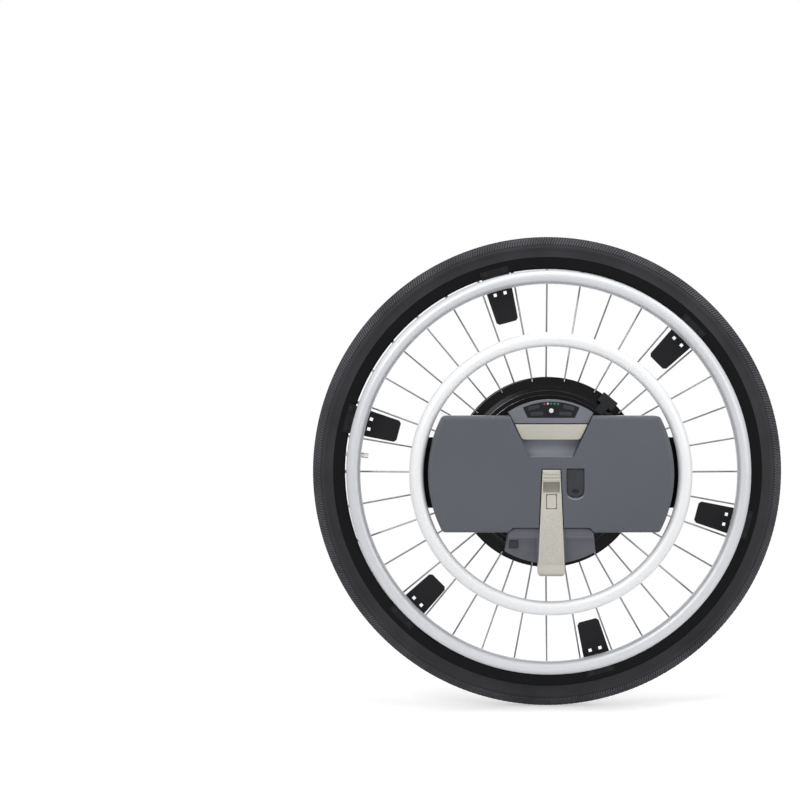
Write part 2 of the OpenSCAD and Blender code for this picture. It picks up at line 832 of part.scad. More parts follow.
// Curved slot that lets a stud swing with the push rim
module stud_slot(z0, z1) {
    rotate([0, 0, -slot_half_angle]) rotate_extrude(angle = 2 * slot_half_angle)
        box2(push_rim_r - slot_r, z0, push_rim_r + slot_r, z1);
    for (side = [-1, 1]) rotate([0, 0, side * slot_half_angle])
        translate([push_rim_r, 0, 0]) rod(slot_r, z0, z1);
}

module rim_brackets() {
    window_r = push_rim_r - push_tube_r - stud_r;
    color(black) stand() at_bracket_places() difference() {
        slab(bracket_z0, bracket_z1) polygon([
            [bracket_in_r, -bracket_half_in + bracket_t], [bracket_in_r, bracket_half_in - bracket_t],
            [bracket_in_r + bracket_t, bracket_half_in], [bracket_out_r, bracket_half_out],
            [bracket_out_r, -bracket_half_out], [bracket_in_r + bracket_t, -bracket_half_in]
        ]);
        stud_slot(bracket_z0 - cut, bracket_z1 + cut);
        for (side = [-1, 1]) {
            translate([bracket_screw_r, side * bracket_screw_y, 0])
                rod(bracket_screw_d / 2 + fit_gap, bracket_z0 - cut, bracket_z1 + cut);
            translate([window_r, side * stud_d * 0.8, bracket_z0 - cut])
                translate([-stud_r / 2, -stud_r / 2, 0])
                    cube([stud_r, stud_r, bracket_t + 2 * cut]);
        }
    }
}

module bracket_screws() {
    color(silver) stand() at_brackets() {
        rod(bracket_screw_d / 2, hollow_half - rim_wall, bracket_z1);
        difference() {
            rod(bracket_screw_d * 0.85, bracket_z1, bracket_z1 + bracket_screw_d * 0.5);
            translate([0, 0, bracket_z1 + bracket_screw_d * 0.25])
                cylinder(r = bracket_screw_d * 0.4, h = bracket_screw_d, $fn = 6);
        }
    }
}

module sensor_pod() {
    pod_len = flange_h + hub_wall;
    pod_r = hub_r + fit_gap;
    face_z = flange_z + flange_t / 2;
    foot_r = face_ring_r - face_ring_w / 2;
    over_z = hub_front + face_ring_h;
    color(black) stand() rotate([0, 0, bracket_angle + spoke_step / 2])
        union() {
            box3(pod_r, -pod_len * 0.65, face_z, pod_r + flange_h * 1.2, pod_len * 0.65, over_z + pod_over);
            box3(foot_r, -pod_len * 0.35, over_z, pod_r + flange_h / 2, pod_len * 0.35, over_z + pod_over);
        }
}

module push_rim() {
    color(silver) stand() difference() {
        translate([0, 0, push_rim_z]) difference() {
            torus(push_rim_r, push_tube_r, $fn = 180);
            torus(push_rim_r, push_tube_r - ring_wall, $fn = 180);
        }
        at_bracket_places() translate([push_rim_r, 0, 0])
            rod(stud_r, push_rim_z - push_tube_r - cut, push_rim_z);
    }
}

module push_rim_studs() {
    nut_z1 = bracket_z0 - slide_gap;
    collar_z0 = bracket_z1 + slide_gap;
    color(steel) stand() at_bracket_places() translate([push_rim_r, 0, 0]) {
        rod(stud_r, nut_z1 - stud_nut_t - run_gap, push_rim_z - push_tube_r + ring_wall);
        rod(stud_r * 1.7, collar_z0, collar_z0 + stud_collar_t);
        translate([0, 0, nut_z1 - stud_nut_t])
            cylinder(r = stud_r * 1.75, h = stud_nut_t, $fn = 6);
    }
}

module push_rim_bushes() {
    color(rubber) stand() at_bracket_places() difference() {
        stud_slot(bracket_z0, bracket_z1);
        translate([push_rim_r, 0, 0]) rod(stud_r + slide_gap, bracket_z0 - cut, bracket_z1 + cut);
    }
}

module axle_sleeve() {
    color(steel) stand() difference() {
        union() {
            rod(bearing_in_r, sleeve_z0, sleeve_z1);
            rod(shoulder_r, -bearing_back, bearing_back);
        }
        rod(sleeve_bore_r, sleeve_z0 - cut, sleeve_z1 + cut);
    }
}

module axle_nuts() {
    color(steel) stand() for (z = [dock_z1, plate_z0 - axle_nut_t]) translate([0, 0, z]) difference() {
        cylinder(r = axle_nut_r, h = axle_nut_t, $fn = 6);
        rod(bearing_in_r, -cut, axle_nut_t + cut);
    }
}

module stator_carrier() {
    web_r = (shoulder_r + carrier_rim_r) / 2;
    hole_r = (carrier_rim_r - shoulder_r) * 0.22;
    color(steel) stand() difference() {
        union() {
            sleeve(yoke_r, carrier_rim_r, -stack_w / 2, stack_w / 2);
            sleeve(carrier_rim_r + hub_wall / 2, shoulder_r, -spider_t / 2, spider_t / 2);
        }
        round_axle(6) translate([web_r, 0, 0]) rod(hole_r, -spider_t, spider_t);
    }
}

module stator_core() {
    step = 360 / tooth_n;
    color(steel) stand() slab(-stack_w / 2, stack_w / 2) difference() {
        circle(r = stator_r);
        circle(r = yoke_r);
        round_axle(tooth_n, step / 2) polygon([
            [slot_r0, -slot_r0 * sin(step / 2) + tooth_w / 2],
            [slot_r1, -slot_r1 * sin(step / 2) + tooth_w / 2],
            [slot_r1, -slot_open / 2], [stator_r + cut, -slot_open / 2],
            [stator_r + cut, slot_open / 2], [slot_r1, slot_open / 2],
            [slot_r1, slot_r1 * sin(step / 2) - tooth_w / 2],
            [slot_r0, slot_r0 * sin(step / 2) - tooth_w / 2]
        ]);
    }
}

module stator_windings() {
    side = tooth_w / 2 + fit_gap * 2;
    end = stack_w / 2 + fit_gap;
    r0 = slot_r0 + run_gap;
    r1 = slot_r1 - run_gap;
    color(copper) stand() round_axle(tooth_n) difference() {
        box3(r0, -side - coil_t, -end - coil_t * 2, r1, side + coil_t, end + coil_t * 2);
        box3(r0 - cut, -side, -end, r1 + cut, side, end);
    }
}

module controller_board() {
    pcb_t = fit_gap * 8;
    z0 = bearing_back + run_gap;
    r0 = boss_r + 3 * run_gap;
    r1 = r0 + motor_board_w;
    mid = (r0 + r1) / 2;
    color(board_green) stand() {
        sleeve(r1, r0, z0, z0 + pcb_t);
        round_axle(3, 30) translate([r0 + hole_post_r() + run_gap, 0, 0])
            rod(hole_post_r(), spider_t / 2, z0 + pcb_t / 2);
        round_axle(6, 15) translate([mid, 0, 0])
            rod((r1 - r0) * 0.22, z0 + pcb_t / 2, hub_front - cover_t - 2 * run_gap);
    }
}

// Radius of the posts under the motor board
function hole_post_r() = (carrier_rim_r - boss_r) * 0.1;

module torque_plate() {
    color(steel) stand() difference() {
        union() {
            rod(plate_r, plate_z0, plate_z1);
            rod(nose_in_r, plate_z1 - cut, -bearing_front);
        }
        rod(bearing_in_r, plate_z0 - cut, -bearing_front + cut);
        round_axle(torque_pin_n, 45) translate([torque_circle_r, 0, 0])
            rod(torque_root_r, plate_z0 - cut, plate_z1 + cut);
    }
}

module torque_pins() {
    color(silver) stand() round_axle(torque_pin_n, 45) translate([torque_circle_r, 0, 0]) {
        rod(torque_pin_d / 2, plate_z0 - torque_pin_out, plate_z0);
        rod(torque_root_r, plate_z0, plate_z1);
    }
}

module quick_release_pin() {
    color(silver) stand() difference() {
        union() {
            rod(tip_r, pin_z0, land_z0);
            rod(pin_r, land_z0, sleeve_z0);
            rod(shank_r, sleeve_z0, sleeve_z1);
            rod(pin_collar_r, sleeve_z1, sleeve_z1 + pin_collar_t);
        }
        rod(rod_r + slide_gap, pin_z0 - cut, sleeve_z1 + pin_collar_t + cut);
        translate([0, 0, lock_ball_z]) rotate([90, 0, 0])
            rod(lock_ball_r + slide_gap / 2, -pin_r - cut, pin_r + cut);
    }
}

module release_plunger() {
    ramp_z0 = lock_ball_z - lock_ball_out;
    ramp_z1 = lock_ball_z + plunger_travel;
    neck_z1 = ramp_z1 + lock_ball_r * 1.4;
    color(steel) stand() {
        rod(rod_r, pin_z0 + lock_ball_out, ramp_z0);
        translate([0, 0, ramp_z0]) cylinder(r1 = rod_r, r2 = rod_neck_r, h = ramp_z1 - ramp_z0);
        rod(rod_neck_r, ramp_z1, neck_z1);
        rod(rod_r, neck_z1, knob_z0);
        rod(knob_r, knob_z0, knob_z0 + knob_t);
    }
}

module lock_ball_upper() {
    color(silver) stand() translate([0, lock_ball_y, lock_ball_z]) sphere(r = lock_ball_r);
}

module lock_ball_lower() {
    color(silver) stand() translate([0, -lock_ball_y, lock_ball_z]) sphere(r = lock_ball_r);
}

// Outline of the lower cover, smaller by the named inset
module lower_outline(inset) {
    intersection() {
        circle(r = lower_r - inset);
        polygon([
            [-lower_half + inset, lower_top - inset], [lower_half - inset, lower_top - inset],
            [lower_half + lower_step - inset, -battery_half],
            [lower_foot_half - inset, -lower_r - cut],
            [-lower_foot_half + inset, -lower_r - cut],
            [-lower_half - lower_step + inset, -battery_half]
        ]);
    }
}

// Outline of the control panel, smaller by the named inset
module panel_outline(inset) {
    top = panel_r + cut;
    intersection() {
        circle(r = panel_r - inset);
        polygon([
            [-notch_half(panel_y0) + panel_gap + inset, panel_y0 + inset],
            [notch_half(panel_y0) - panel_gap - inset, panel_y0 + inset],
            [notch_half(top) - panel_gap - inset, top], [-notch_half(top) + panel_gap + inset, top]
        ]);
    }
}

// Places of the screws that hold the console covers
module at_dock_screws() {
    panel_y = (panel_y0 + dock_r) / 2 - console_wall;
    lower_y = -(dock_r + battery_half) / 2 - console_wall;
    for (side = [-1, 1]) {
        translate([side * keypad_half, panel_y, 0]) children();
        translate([side * keypad_half, lower_y, 0]) children();
    }
}

// Pins that the control ring rests against
module stop_pins(r, z0, z1) {
    for (side = [-1, 1]) translate([0, side * stop_r, 0]) rod(r, z0, z1);
}

module dock_base() {
    color(slate) stand() difference() {
        union() {
            slab(dock_z0, dock_z1) {
                circle(r = dock_r);
                lower_outline(0);
            }
            rod(journal_r, journal_z0, dock_z0 + cut);
            rod(nose_in_r, bearing_front, journal_z0 + cut);
            rod(spigot_r, dock_z1 - cut, spigot_z1);
            stop_pins(stop_pin_r, carrier_z0 + slide_gap, dock_z0 + cut);
        }
        rod(bearing_in_r, bearing_front - cut, spigot_z1 + cut);
        rod(axle_nut_r + run_gap, dock_z1, spigot_z1 + cut);
        at_dock_screws() {
            rod(screw_r + fit_gap, dock_z0 - cut, dock_z1 + cut);
            rod(screw_head_r + fit_gap, dock_z0 - cut, dock_z0 + dock_t / 2);
        }
    }
}

module dock_screws() {
    color(steel) stand() at_dock_screws() {
        rod(screw_r, dock_z0 + dock_t / 2, dock_z1 + spigot_h);
        rod(screw_head_r, dock_z0 + dock_t * 0.1, dock_z0 + dock_t / 2);
    }
}

module contact_block() {
    blade = contact_x * 0.3;
    color(black) stand() difference() {
        box3(-contact_x, contact_y - contact_h / 2, dock_z1, contact_x, contact_y + contact_h / 2,
            dock_z1 + contact_t);
        for (i = [-2 : 2]) box3(i * blade - blade / 4, contact_y - contact_h / 4, dock_z1 + contact_t / 2,
            i * blade + blade / 4, contact_y + contact_h / 4, dock_z1 + contact_t + cut);
    }
}

// Outline of the keypad sheet
module keypad_outline() {
    intersection() {
        circle(r = keypad_r);
        polygon([
            [-keypad_half * 0.84, keypad_y0], [keypad_half * 0.84, keypad_y0],
            [keypad_half, button_y + button_r * 0.6], [keypad_half, panel_r],
            [-keypad_half, panel_r], [-keypad_half, button_y + button_r * 0.6]
        ]);
    }
}

// Places of the status lights
module at_lights() {
    for (i = [0 : light_n - 1]) rotate([0, 0, (i - (light_n - 1) / 2) * light_step])
        translate([0, light_row_r, 0]) children();
}

module panel_housing() {
    color(slate) stand() difference() {
        union() {
            difference() {
                slab(dock_z1, panel_z1) panel_outline(0);
                slab(dock_z1 - cut, panel_z1 - console_wall) panel_outline(console_wall);
            }
            intersection() {
                slab(dock_z1, panel_z1 - keypad_t) panel_outline(0);
                at_dock_screws() rod(screw_boss_r, dock_z1, panel_z1);
            }
        }
        slab(panel_z1 - keypad_t, panel_z1 + cut) keypad_outline();
        translate([0, button_y, 0]) rod(button_r + slide_gap, dock_z1, panel_z1 + cut);
        at_dock_screws() rod(screw_r, dock_z1 - cut, spigot_z1);
    }
}

module panel_keypad() {
    color(black) stand() difference() {
        slab(panel_z1 - keypad_t, panel_z1) keypad_outline();
        translate([0, button_y, 0]) rod(button_r + slide_gap, dock_z1, panel_z1 + cut);
        at_lights() rod(light_r, panel_z1 - keypad_t - cut, panel_z1 + cut);
    }
}

module status_lights() {
    color(white) stand() at_lights() rod(light_r, panel_z1 - keypad_t, panel_z1 + light_r * 0.3);
}

module power_button() {
    color(black) stand() translate([0, button_y, 0]) {
        rod(button_r, panel_z1 - console_wall, panel_z1 + button_travel * 0.75);
        rod(button_r * 1.2, panel_z1 - console_wall * 1.6, panel_z1 - console_wall - slide_gap);
        rod(button_r * 0.4, panel_z1 - console_wall * 2, panel_z1);
    }
}

// Solid that the finger scoops beside the lever are cut with
module scoops() {
    scoop_y = -lower_r + scoop_r * 0.23;
    for (side = [0, 1]) mirror([side, 0, 0])
        translate([0, scoop_y, lower_z1 + scoop_r * 0.53])
            cross_rod(scoop_r, lever_foot_half + run_gap, lower_r);
}

// Place of the service plug beside the lever
module at_plug() {
    translate([-lower_foot_half + plug_side * 1.15, -lower_r + plug_side * 2.3, 0]) children();
}

module lower_cover() {
    inner_z = lower_z1 - scoop_r * 0.6;
    color(slate) stand() difference() {
        union() {
            difference() {
                slab(dock_z1, lower_z1) lower_outline(0);
                slab(dock_z1 - cut, inner_z) lower_outline(console_wall);
                scoops();
                for (side = [-1, 1]) translate([side * (lug_half + cheek_w / 2 + slide_gap), lever_y, lever_z])
                    cross_rod(nose_r + run_gap, -cheek_w / 2 - run_gap, cheek_w / 2 + run_gap);
            }
            intersection() {
                slab(dock_z1, inner_z + turn_gap) lower_outline(0);
                at_dock_screws() rod(screw_boss_r, dock_z1, lower_z1);
            }
            translate([0, lever_y, lever_z]) cross_rod(lug_r, -lug_half, lug_half);
            box3(-lug_half, lever_y, lever_z - lug_r * 0.6,
                lug_half, lever_y + nose_r * 1.3, lever_z + lug_r * 0.8);
        }
        translate([0, lever_y, lever_z]) cross_rod(lever_pin_r, -lug_half - cut, lug_half + cut);
        at_dock_screws() rod(screw_r, dock_z1 - cut, spigot_z1);
        at_plug() box3(-plug_side / 2, -plug_side / 2, inner_z + console_wall,
            plug_side / 2, plug_side / 2, lower_z1 + cut);
    }
}

module service_plug() {
    inner_z = lower_z1 - scoop_r * 0.6;
    side = plug_side / 2 - turn_gap;
    color(rubber) stand() at_plug() box3(-side, -side, inner_z + console_wall, side, side,
        inner_z + console_wall + plug_side * 0.9);
}

module lever_pin() {
    half = lever_foot_half - slide_gap;
    color(steel) stand() translate([0, lever_y, lever_z]) cross_rod(lever_pin_r, -half, half);
}

module ring_carrier() {
    color(black) stand() difference() {
        union() {
            slab(carrier_z0, carrier_z1) difference() {
                union() {
                    circle(r = carrier_r);
                    intersection() {
                        circle(r = arm_r1);
                        for (side = [0, 1]) mirror([side, 0]) polygon([
                            [journal_r, -arm_root_half], [journal_r, arm_root_half],
                            [arm_r0 * 0.9, arm_half], [arm_r1 + cut, arm_half],
                            [arm_r1 + cut, -arm_half], [arm_r0 * 0.9, -arm_half]
                        ]);
                    }
                }
                circle(r = journal_r + turn_gap);
            }
            difference() {
                for (side = [0, 180]) rotate([0, 0, side - arm_angle]) rotate_extrude(angle = 2 * arm_angle)
                    box2(arm_r0, carrier_z0, arm_r1, control_ring_z - control_tube_r * 0.5);
                translate([0, 0, control_ring_z]) torus(control_ring_r, control_tube_r, $fn = 180);
            }
        }
        for (side = [90, 270]) rotate([0, 0, side]) stop_slot(carrier_z0 - cut, carrier_z1 + cut);
    }
}

// Curved slot that lets the carrier swing past a stop pin
module stop_slot(z0, z1) {
    rotate([0, 0, -stop_half_angle]) rotate_extrude(angle = 2 * stop_half_angle)
        box2(stop_r - stop_slot_r, z0, stop_r + stop_slot_r, z1);
    for (side = [-1, 1]) rotate([0, 0, side * stop_half_angle])
        translate([stop_r, 0, 0]) rod(stop_slot_r, z0, z1);
}

module ring_bushes() {
    color(rubber) stand() difference() {
        for (side = [90, 270]) rotate([0, 0, side]) stop_slot(carrier_z0 + slide_gap, carrier_z1);
        stop_pins(stop_pin_r + slide_gap, carrier_z0 - cut, carrier_z1 + cut);
    }
}

module control_ring() {
    color(silver) stand() translate([0, 0, control_ring_z]) difference() {
        torus(control_ring_r, control_tube_r, $fn = 180);
        torus(control_ring_r, control_tube_r - ring_wall, $fn = 180);
        for (side = [0, 180]) rotate([0, 0, side]) translate([control_ring_r, 0, 0])
            rod(ring_wall, -control_tube_r - cut, 0);
    }
}

// Battery outline with round ends and soft corners, smaller by the named inset
module battery_body(inset) {
    r = battery_r - inset;
    h = battery_half - inset;
    c = battery_corner;
    corner_y = h - c;
    corner_x = sqrt((r - c) * (r - c) - corner_y * corner_y);
    meet_y = corner_y * r / (r - c);
    intersection() {
        circle(r = r);
        box2(-r, -meet_y, r, meet_y);
    }
    box2(-corner_x, -h, corner_x, h);
    for (sx = [-1, 1], sy = [-1, 1]) translate([sx * corner_x, sy * corner_y]) circle(r = c);
}

// Notch at the top of the battery above the given height, larger by the named margin
module notch_outline(y0, margin) {
    top = battery_half + cut;
    low = y0 - margin;
    polygon([
        [-notch_half(low) - margin, low], [notch_half(low) + margin, low],
        [notch_half(top) + margin, top], [-notch_half(top) - margin, top]
    ]);
}

// Finger hollow, which opens into the notch that runs right through
module hollow_outline() {
    half = notch_half(through_y);
    polygon([
        [-notch_half(notch_y0), notch_y0], [notch_half(notch_y0), notch_y0], [half, through_y],
        [half - cut, through_y + cut], [-half + cut, through_y + cut], [-half, through_y]
    ]);
}

// Step at the bottom of the battery, larger by the named margin
module step_outline(margin) {
    side = lower_half + lower_side_gap + margin;
    polygon([
        [-side, step_y + margin], [side, step_y + margin],
        [side + lower_step, -battery_half], [side + lower_step + cut, -battery_half - cut],
        [-side - lower_step - cut, -battery_half - cut], [-side - lower_step, -battery_half]
    ]);
}

// Battery outline with the notch that runs right through and the step at the bottom
module battery_outline(inset) {
    difference() {
        battery_body(inset);
        notch_outline(through_y, inset);
        step_outline(inset);
    }
}

// Lever outline between two heights, larger by the named margin
module lever_outline(y0, y1, margin) {
    polygon([
        [-lever_half(y0) - margin, y0], [lever_half(y0) + margin, y0],
        [lever_half(y1) + margin, y1], [-lever_half(y1) - margin, y1]
    ]);
}

// Charge flap outline, larger by the named margin and with room above the hinge
module flap_outline(margin, room = 0) {
    half = flap_w / 2 + margin;
    low = flap_y - flap_h - margin;
    translate([flap_x, 0]) {
        box2(-half, low + flap_round, half, flap_y + margin + room);
        box2(-half + flap_round, low, half - flap_round, flap_y);
        for (side = [-1, 1]) translate([side * (half - flap_round), low + flap_round])
            circle(r = flap_round);
    }
}

// Soft front edge of the battery, round its ends and along its top and bottom
module battery_edge_form() {
    z = battery_z1 - battery_edge;
    intersection() {
        rotate_extrude($fn = 180) {
            box2(0, battery_z0, battery_r, z);
            box2(0, battery_z0, battery_r - battery_edge, battery_z1);
            translate([battery_r - battery_edge, z]) circle(r = battery_edge);
        }
        union() {
            box3(-battery_r, -battery_half, battery_z0, battery_r, battery_half, z);
            box3(-battery_r, -battery_half + battery_edge, battery_z0, battery_r,
                battery_half - battery_edge, battery_z1);
            for (side = [-1, 1]) translate([0, side * (battery_half - battery_edge), z])
                cross_rod(battery_edge, -battery_r, battery_r);
        }
    }
}

// Places of the battery case screws
module at_battery_screws() {
    for (side = [-1, 1]) {
        translate([side * battery_screw_x, 0, 0]) children();
        translate([side * battery_screw_x2, battery_screw_y0, 0]) children();
        translate([side * battery_screw_x2, battery_screw_y1, 0]) children();
    }
}

module battery_front_case() {
    roof_z = battery_z1 - case_wall;
    groove_y0 = -battery_half - cut;
    color(slate) stand() difference() {
        union() {
            difference() {
                intersection() {
                    slab(split_z, battery_z1) battery_outline(0);
                    battery_edge_form();
                }
                slab(split_z - cut, roof_z) battery_outline(case_wall);
            }
            intersection() {
                slab(split_z, roof_z + turn_gap) battery_outline(0);
                union() {
                    slab(hollow_z - case_wall, roof_z + turn_gap) notch_outline(notch_y0, case_wall);
                    slab(groove_z - case_wall, roof_z + turn_gap)
                        lever_outline(-battery_half, lever_top + lever_gap + case_wall, lever_gap + case_wall);
                    slab(flap_pocket_z - socket_len, roof_z + turn_gap)
                        flap_outline(flap_gap + case_wall, flap_room);
                    at_battery_screws() rod(screw_boss_r, split_z, roof_z + turn_gap);
                }
            }
        }
        difference() {
            slab(hollow_z, battery_z1 + cut) hollow_outline();
            for (side = [-1, 1]) translate([side * post_x, (grip_y0 + grip_y1) / 2, 0])
                rod(post_r, hollow_z - cut, grip_z1 - grip_t);
        }
        slab(groove_z, battery_z1 + cut) lever_outline(groove_y0, lever_top + lever_gap, lever_gap);
        slab(flap_pocket_z, battery_z1 + cut) flap_outline(flap_gap, flap_room);
        translate([flap_x, socket_y, 0]) rod(socket_r, flap_pocket_z - socket_len - cut, battery_z1);
        at_battery_screws() rod(screw_r, split_z - cut, roof_z - case_wall);
    }
}

module battery_rear_case() {
    floor_z = battery_z0 + case_wall;
    color(slate) stand() difference() {
        union() {
            difference() {
                slab(battery_z0, split_z) battery_outline(0);
                slab(floor_z, split_z + cut) battery_outline(case_wall);
            }
            rod(cup_r + case_wall, battery_z0, cup_z1);
            at_battery_screws() rod(screw_boss_r, battery_z0, split_z);
            box3(-contact_x - run_gap - case_wall, contact_y - contact_h / 2 - run_gap - case_wall, battery_z0,
                contact_x + run_gap + case_wall, contact_y + contact_h / 2 + run_gap + case_wall,
                dock_z1 + contact_t + run_gap + case_wall);
            at_board_posts() rod(screw_boss_r, battery_z0, board_z);
        }
        rod(cup_r, battery_z0 - cut, cup_z1 - case_wall);
        box3(-contact_x - run_gap, contact_y - contact_h / 2 - run_gap, battery_z0 - cut,
            contact_x + run_gap, contact_y + contact_h / 2 + run_gap, dock_z1 + contact_t + run_gap);
        at_battery_screws() {
            rod(screw_r + fit_gap, battery_z0 - cut, split_z + cut);
            rod(screw_head_r + fit_gap, battery_z0 - cut, battery_z0 + case_wall);
        }
    }
}

module battery_screws() {
    color(steel) stand() at_battery_screws() {
        rod(screw_r, battery_z0 + case_wall, split_z + spigot_h);
        rod(screw_head_r, battery_z0 + fit_gap, battery_z0 + case_wall);
    }
}

// Posts under the battery board
module at_board_posts() {
    for (sx = [-1, 1], sy = [0, 1])
        translate([sx * (cup_r + case_wall), step_y * 0.5 - sy * contact_h * 1.6, 0]) children();
}

module battery_board() {
    half = cup_r + case_wall + screw_boss_r;
    y0 = step_y + case_wall + run_gap;
    y1 = step_y * 0.5 + screw_boss_r;
    color(board_green) stand() {
        box3(-half, y0, board_z, half, y1, board_z + board_t);
        for (i = [-2 : 2]) box3(i * contact_h - contact_h / 4, y0 + contact_h * 0.6, board_z + board_t / 2,
            i * contact_h + contact_h / 4, y0 + contact_h * 1.4, board_z + board_t + contact_h / 3);
    }
}

// Places of the battery cells, each lying along y
module at_cells() {
    for (side = [-1, 1], i = [0 : cell_columns - 1], z = [cell_z0, cell_z1])
        translate([side * (cell_x0 + i * cell_pitch), 0, z]) children();
}

module battery_cells() {
    color(steel) stand() at_cells() for (row = [-1, 1])
        translate([0, row * cell_y + cell_len / 2, 0]) rotate([90, 0, 0]) cylinder(r = cell_r, h = cell_len);
}

module cell_holders() {
    x1 = cell_x0 + (cell_columns - 1) * cell_pitch + cell_r + run_gap;
    color(black) stand() difference() {
        for (side = [0, 1], y = [-1, 1] * cell_y, part = [-1, 1] * holder_y)
            mirror([side, 0, 0]) box3(cell_x0 - cell_r - run_gap / 2, y + part - holder_t / 2,
                battery_z0 + case_wall, x1, y + part + holder_t / 2, battery_z1 - case_wall);
        at_cells() translate([0, battery_half, 0]) rotate([90, 0, 0])
            cylinder(r = cell_r + fit_gap / 2, h = battery_h);
    }
}

module grip_plate() {
    gap = run_gap * 1.2;
    color(champagne) stand() slab(grip_z1 - grip_t, grip_z1) polygon([
        [-notch_half(grip_y0) + gap, grip_y0], [notch_half(grip_y0) - gap, grip_y0],
        [notch_half(grip_y1) - gap, grip_y1], [-notch_half(grip_y1) + gap, grip_y1]
    ]);
}

module charge_socket() {
    color(black) stand() translate([flap_x, socket_y, 0]) difference() {
        rod(socket_r, flap_pocket_z - socket_len, flap_pocket_z - fit_gap);
        rod(socket_r * 0.75, flap_pocket_z - socket_len * 0.6, flap_pocket_z + cut);
        rod(socket_r * 0.2, flap_pocket_z - socket_len * 0.8, flap_pocket_z);
    }
}

module charge_flap() {
    z = (flap_z0 + flap_z1) / 2;
    color(rubber) stand() {
        difference() {
            slab(flap_z0, flap_z1) flap_outline(0);
            box3(flap_x - flap_w, flap_y - flap_t / 2, flap_z0 - cut, flap_x + flap_w, flap_y + cut, flap_z1 + cut);
        }
        translate([flap_x, flap_y - flap_t / 2, z]) cross_rod(flap_t / 2, -flap_w / 2, flap_w / 2);
    }
}

module lock_lever() {
    face_z = lever_front - lever_t;
    latch_y = latch_y0 - fit_gap;
    color(champagne) stand() difference() {
        union() {
            slab(face_z, lever_front) lever_outline(lever_y, latch_y, 0);
            difference() {
                slab(lever_back, face_z + turn_gap) lever_outline(lever_y, latch_y, 0);
                slab(lever_back - cut, lever_front)
                    lever_outline(lever_y - cut, latch_y - lever_t, -lever_t);
            }
            slab(lever_back, lever_back + latch_base_t)
                lever_outline(latch_y - lever_t, lever_top - lever_t, -lever_t / 2);
            slab(lever_back, lever_back + shelf_t)
                lever_outline(lever_button_y - lever_button_h, latch_y - lever_t / 2, -lever_t / 2);
            translate([0, lever_y, lever_z]) difference() {
                cross_rod(nose_r, -lever_foot_half, lever_foot_half);
                cross_rod(nose_r - lever_t, -lug_half - slide_gap, lug_half + slide_gap);
                box3(-lug_half - slide_gap, 0, -2 * nose_r, lug_half + slide_gap, 2 * nose_r, 2 * nose_r);
                box3(-lug_half - slide_gap, -2 * nose_r, -2 * nose_r, lug_half + slide_gap, cut, 0);
            }
        }
        translate([0, lever_y, lever_z])
            cross_rod(lever_pin_r + turn_gap, -lever_foot_half - cut, lever_foot_half + cut);
        translate([0, lever_button_y - lever_button_h / 2, 0])
            box3(-lever_button_side / 2, -lever_button_h / 2, lever_back + shelf_t + turn_gap,
                lever_button_side / 2, lever_button_h / 2, lever_front + cut);
        for (side = [-1, 1]) translate([0, (latch_y0 + lever_top) / 2 + side * latch_peg_y, 0])
            rod(latch_peg_r + slide_gap / 2, lever_back - cut, lever_front);
    }
}

module thumb_latch() {
    ridge = lever_t * 0.4;
    y_mid = (latch_y0 + lever_top) / 2;
    color(champagne) stand() {
        slab(latch_z0, lever_front) lever_outline(latch_y0, lever_top, 0);
        for (i = [1 : 3]) translate([0, lever_top - i * 2 * lever_t, lever_front])
            cross_rod(ridge, -lever_top_half * 0.85, lever_top_half * 0.85);
        for (side = [-1, 1]) translate([0, y_mid + side * latch_peg_y, 0])
            rod(latch_peg_r, latch_peg_z, latch_z0 + turn_gap);
    }
}

module lever_button() {
    half = lever_button_side / 2 - slide_gap;
    tall = lever_button_h / 2 - slide_gap;
    z0 = lever_back + shelf_t + lever_button_travel + fit_gap;
    color(champagne) stand() translate([0, lever_button_y - lever_button_h / 2, 0])
        box3(-half, -tall, z0, half, tall, lever_front + lever_button_travel * 0.3);
}

tyre();
inner_tube();
rim_tape();
rim();
valve_stem();
outer_spokes();
inner_spokes();
spoke_nipples();
hub_shell();
hub_rear_cover();
hub_cover_screws();
rotor_ring();
rotor_magnets();
bearing_outer_rings();
bearing_balls();
rim_brackets();
bracket_screws();
sensor_pod();
push_rim();
push_rim_studs();
push_rim_bushes();
axle_sleeve();
axle_nuts();
bearing_inner_rings();
stator_carrier();
stator_core();
stator_windings();
controller_board();
torque_plate();
torque_pins();
quick_release_pin();
dock_base();
dock_screws();
contact_block();
panel_housing();
panel_keypad();
status_lights();
lower_cover();
service_plug();
lever_pin();
ring_carrier();
control_ring();
ring_bushes();
power_button();
release_plunger();
lock_ball_upper();
lock_ball_lower();
battery_front_case();
battery_rear_case();
battery_cells();
cell_holders();
battery_board();
grip_plate();
charge_socket();
battery_screws();
lock_lever();
thumb_latch();
lever_button();
charge_flap();
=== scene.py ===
import json
import math
import bpy
from mathutils import Matrix, Vector

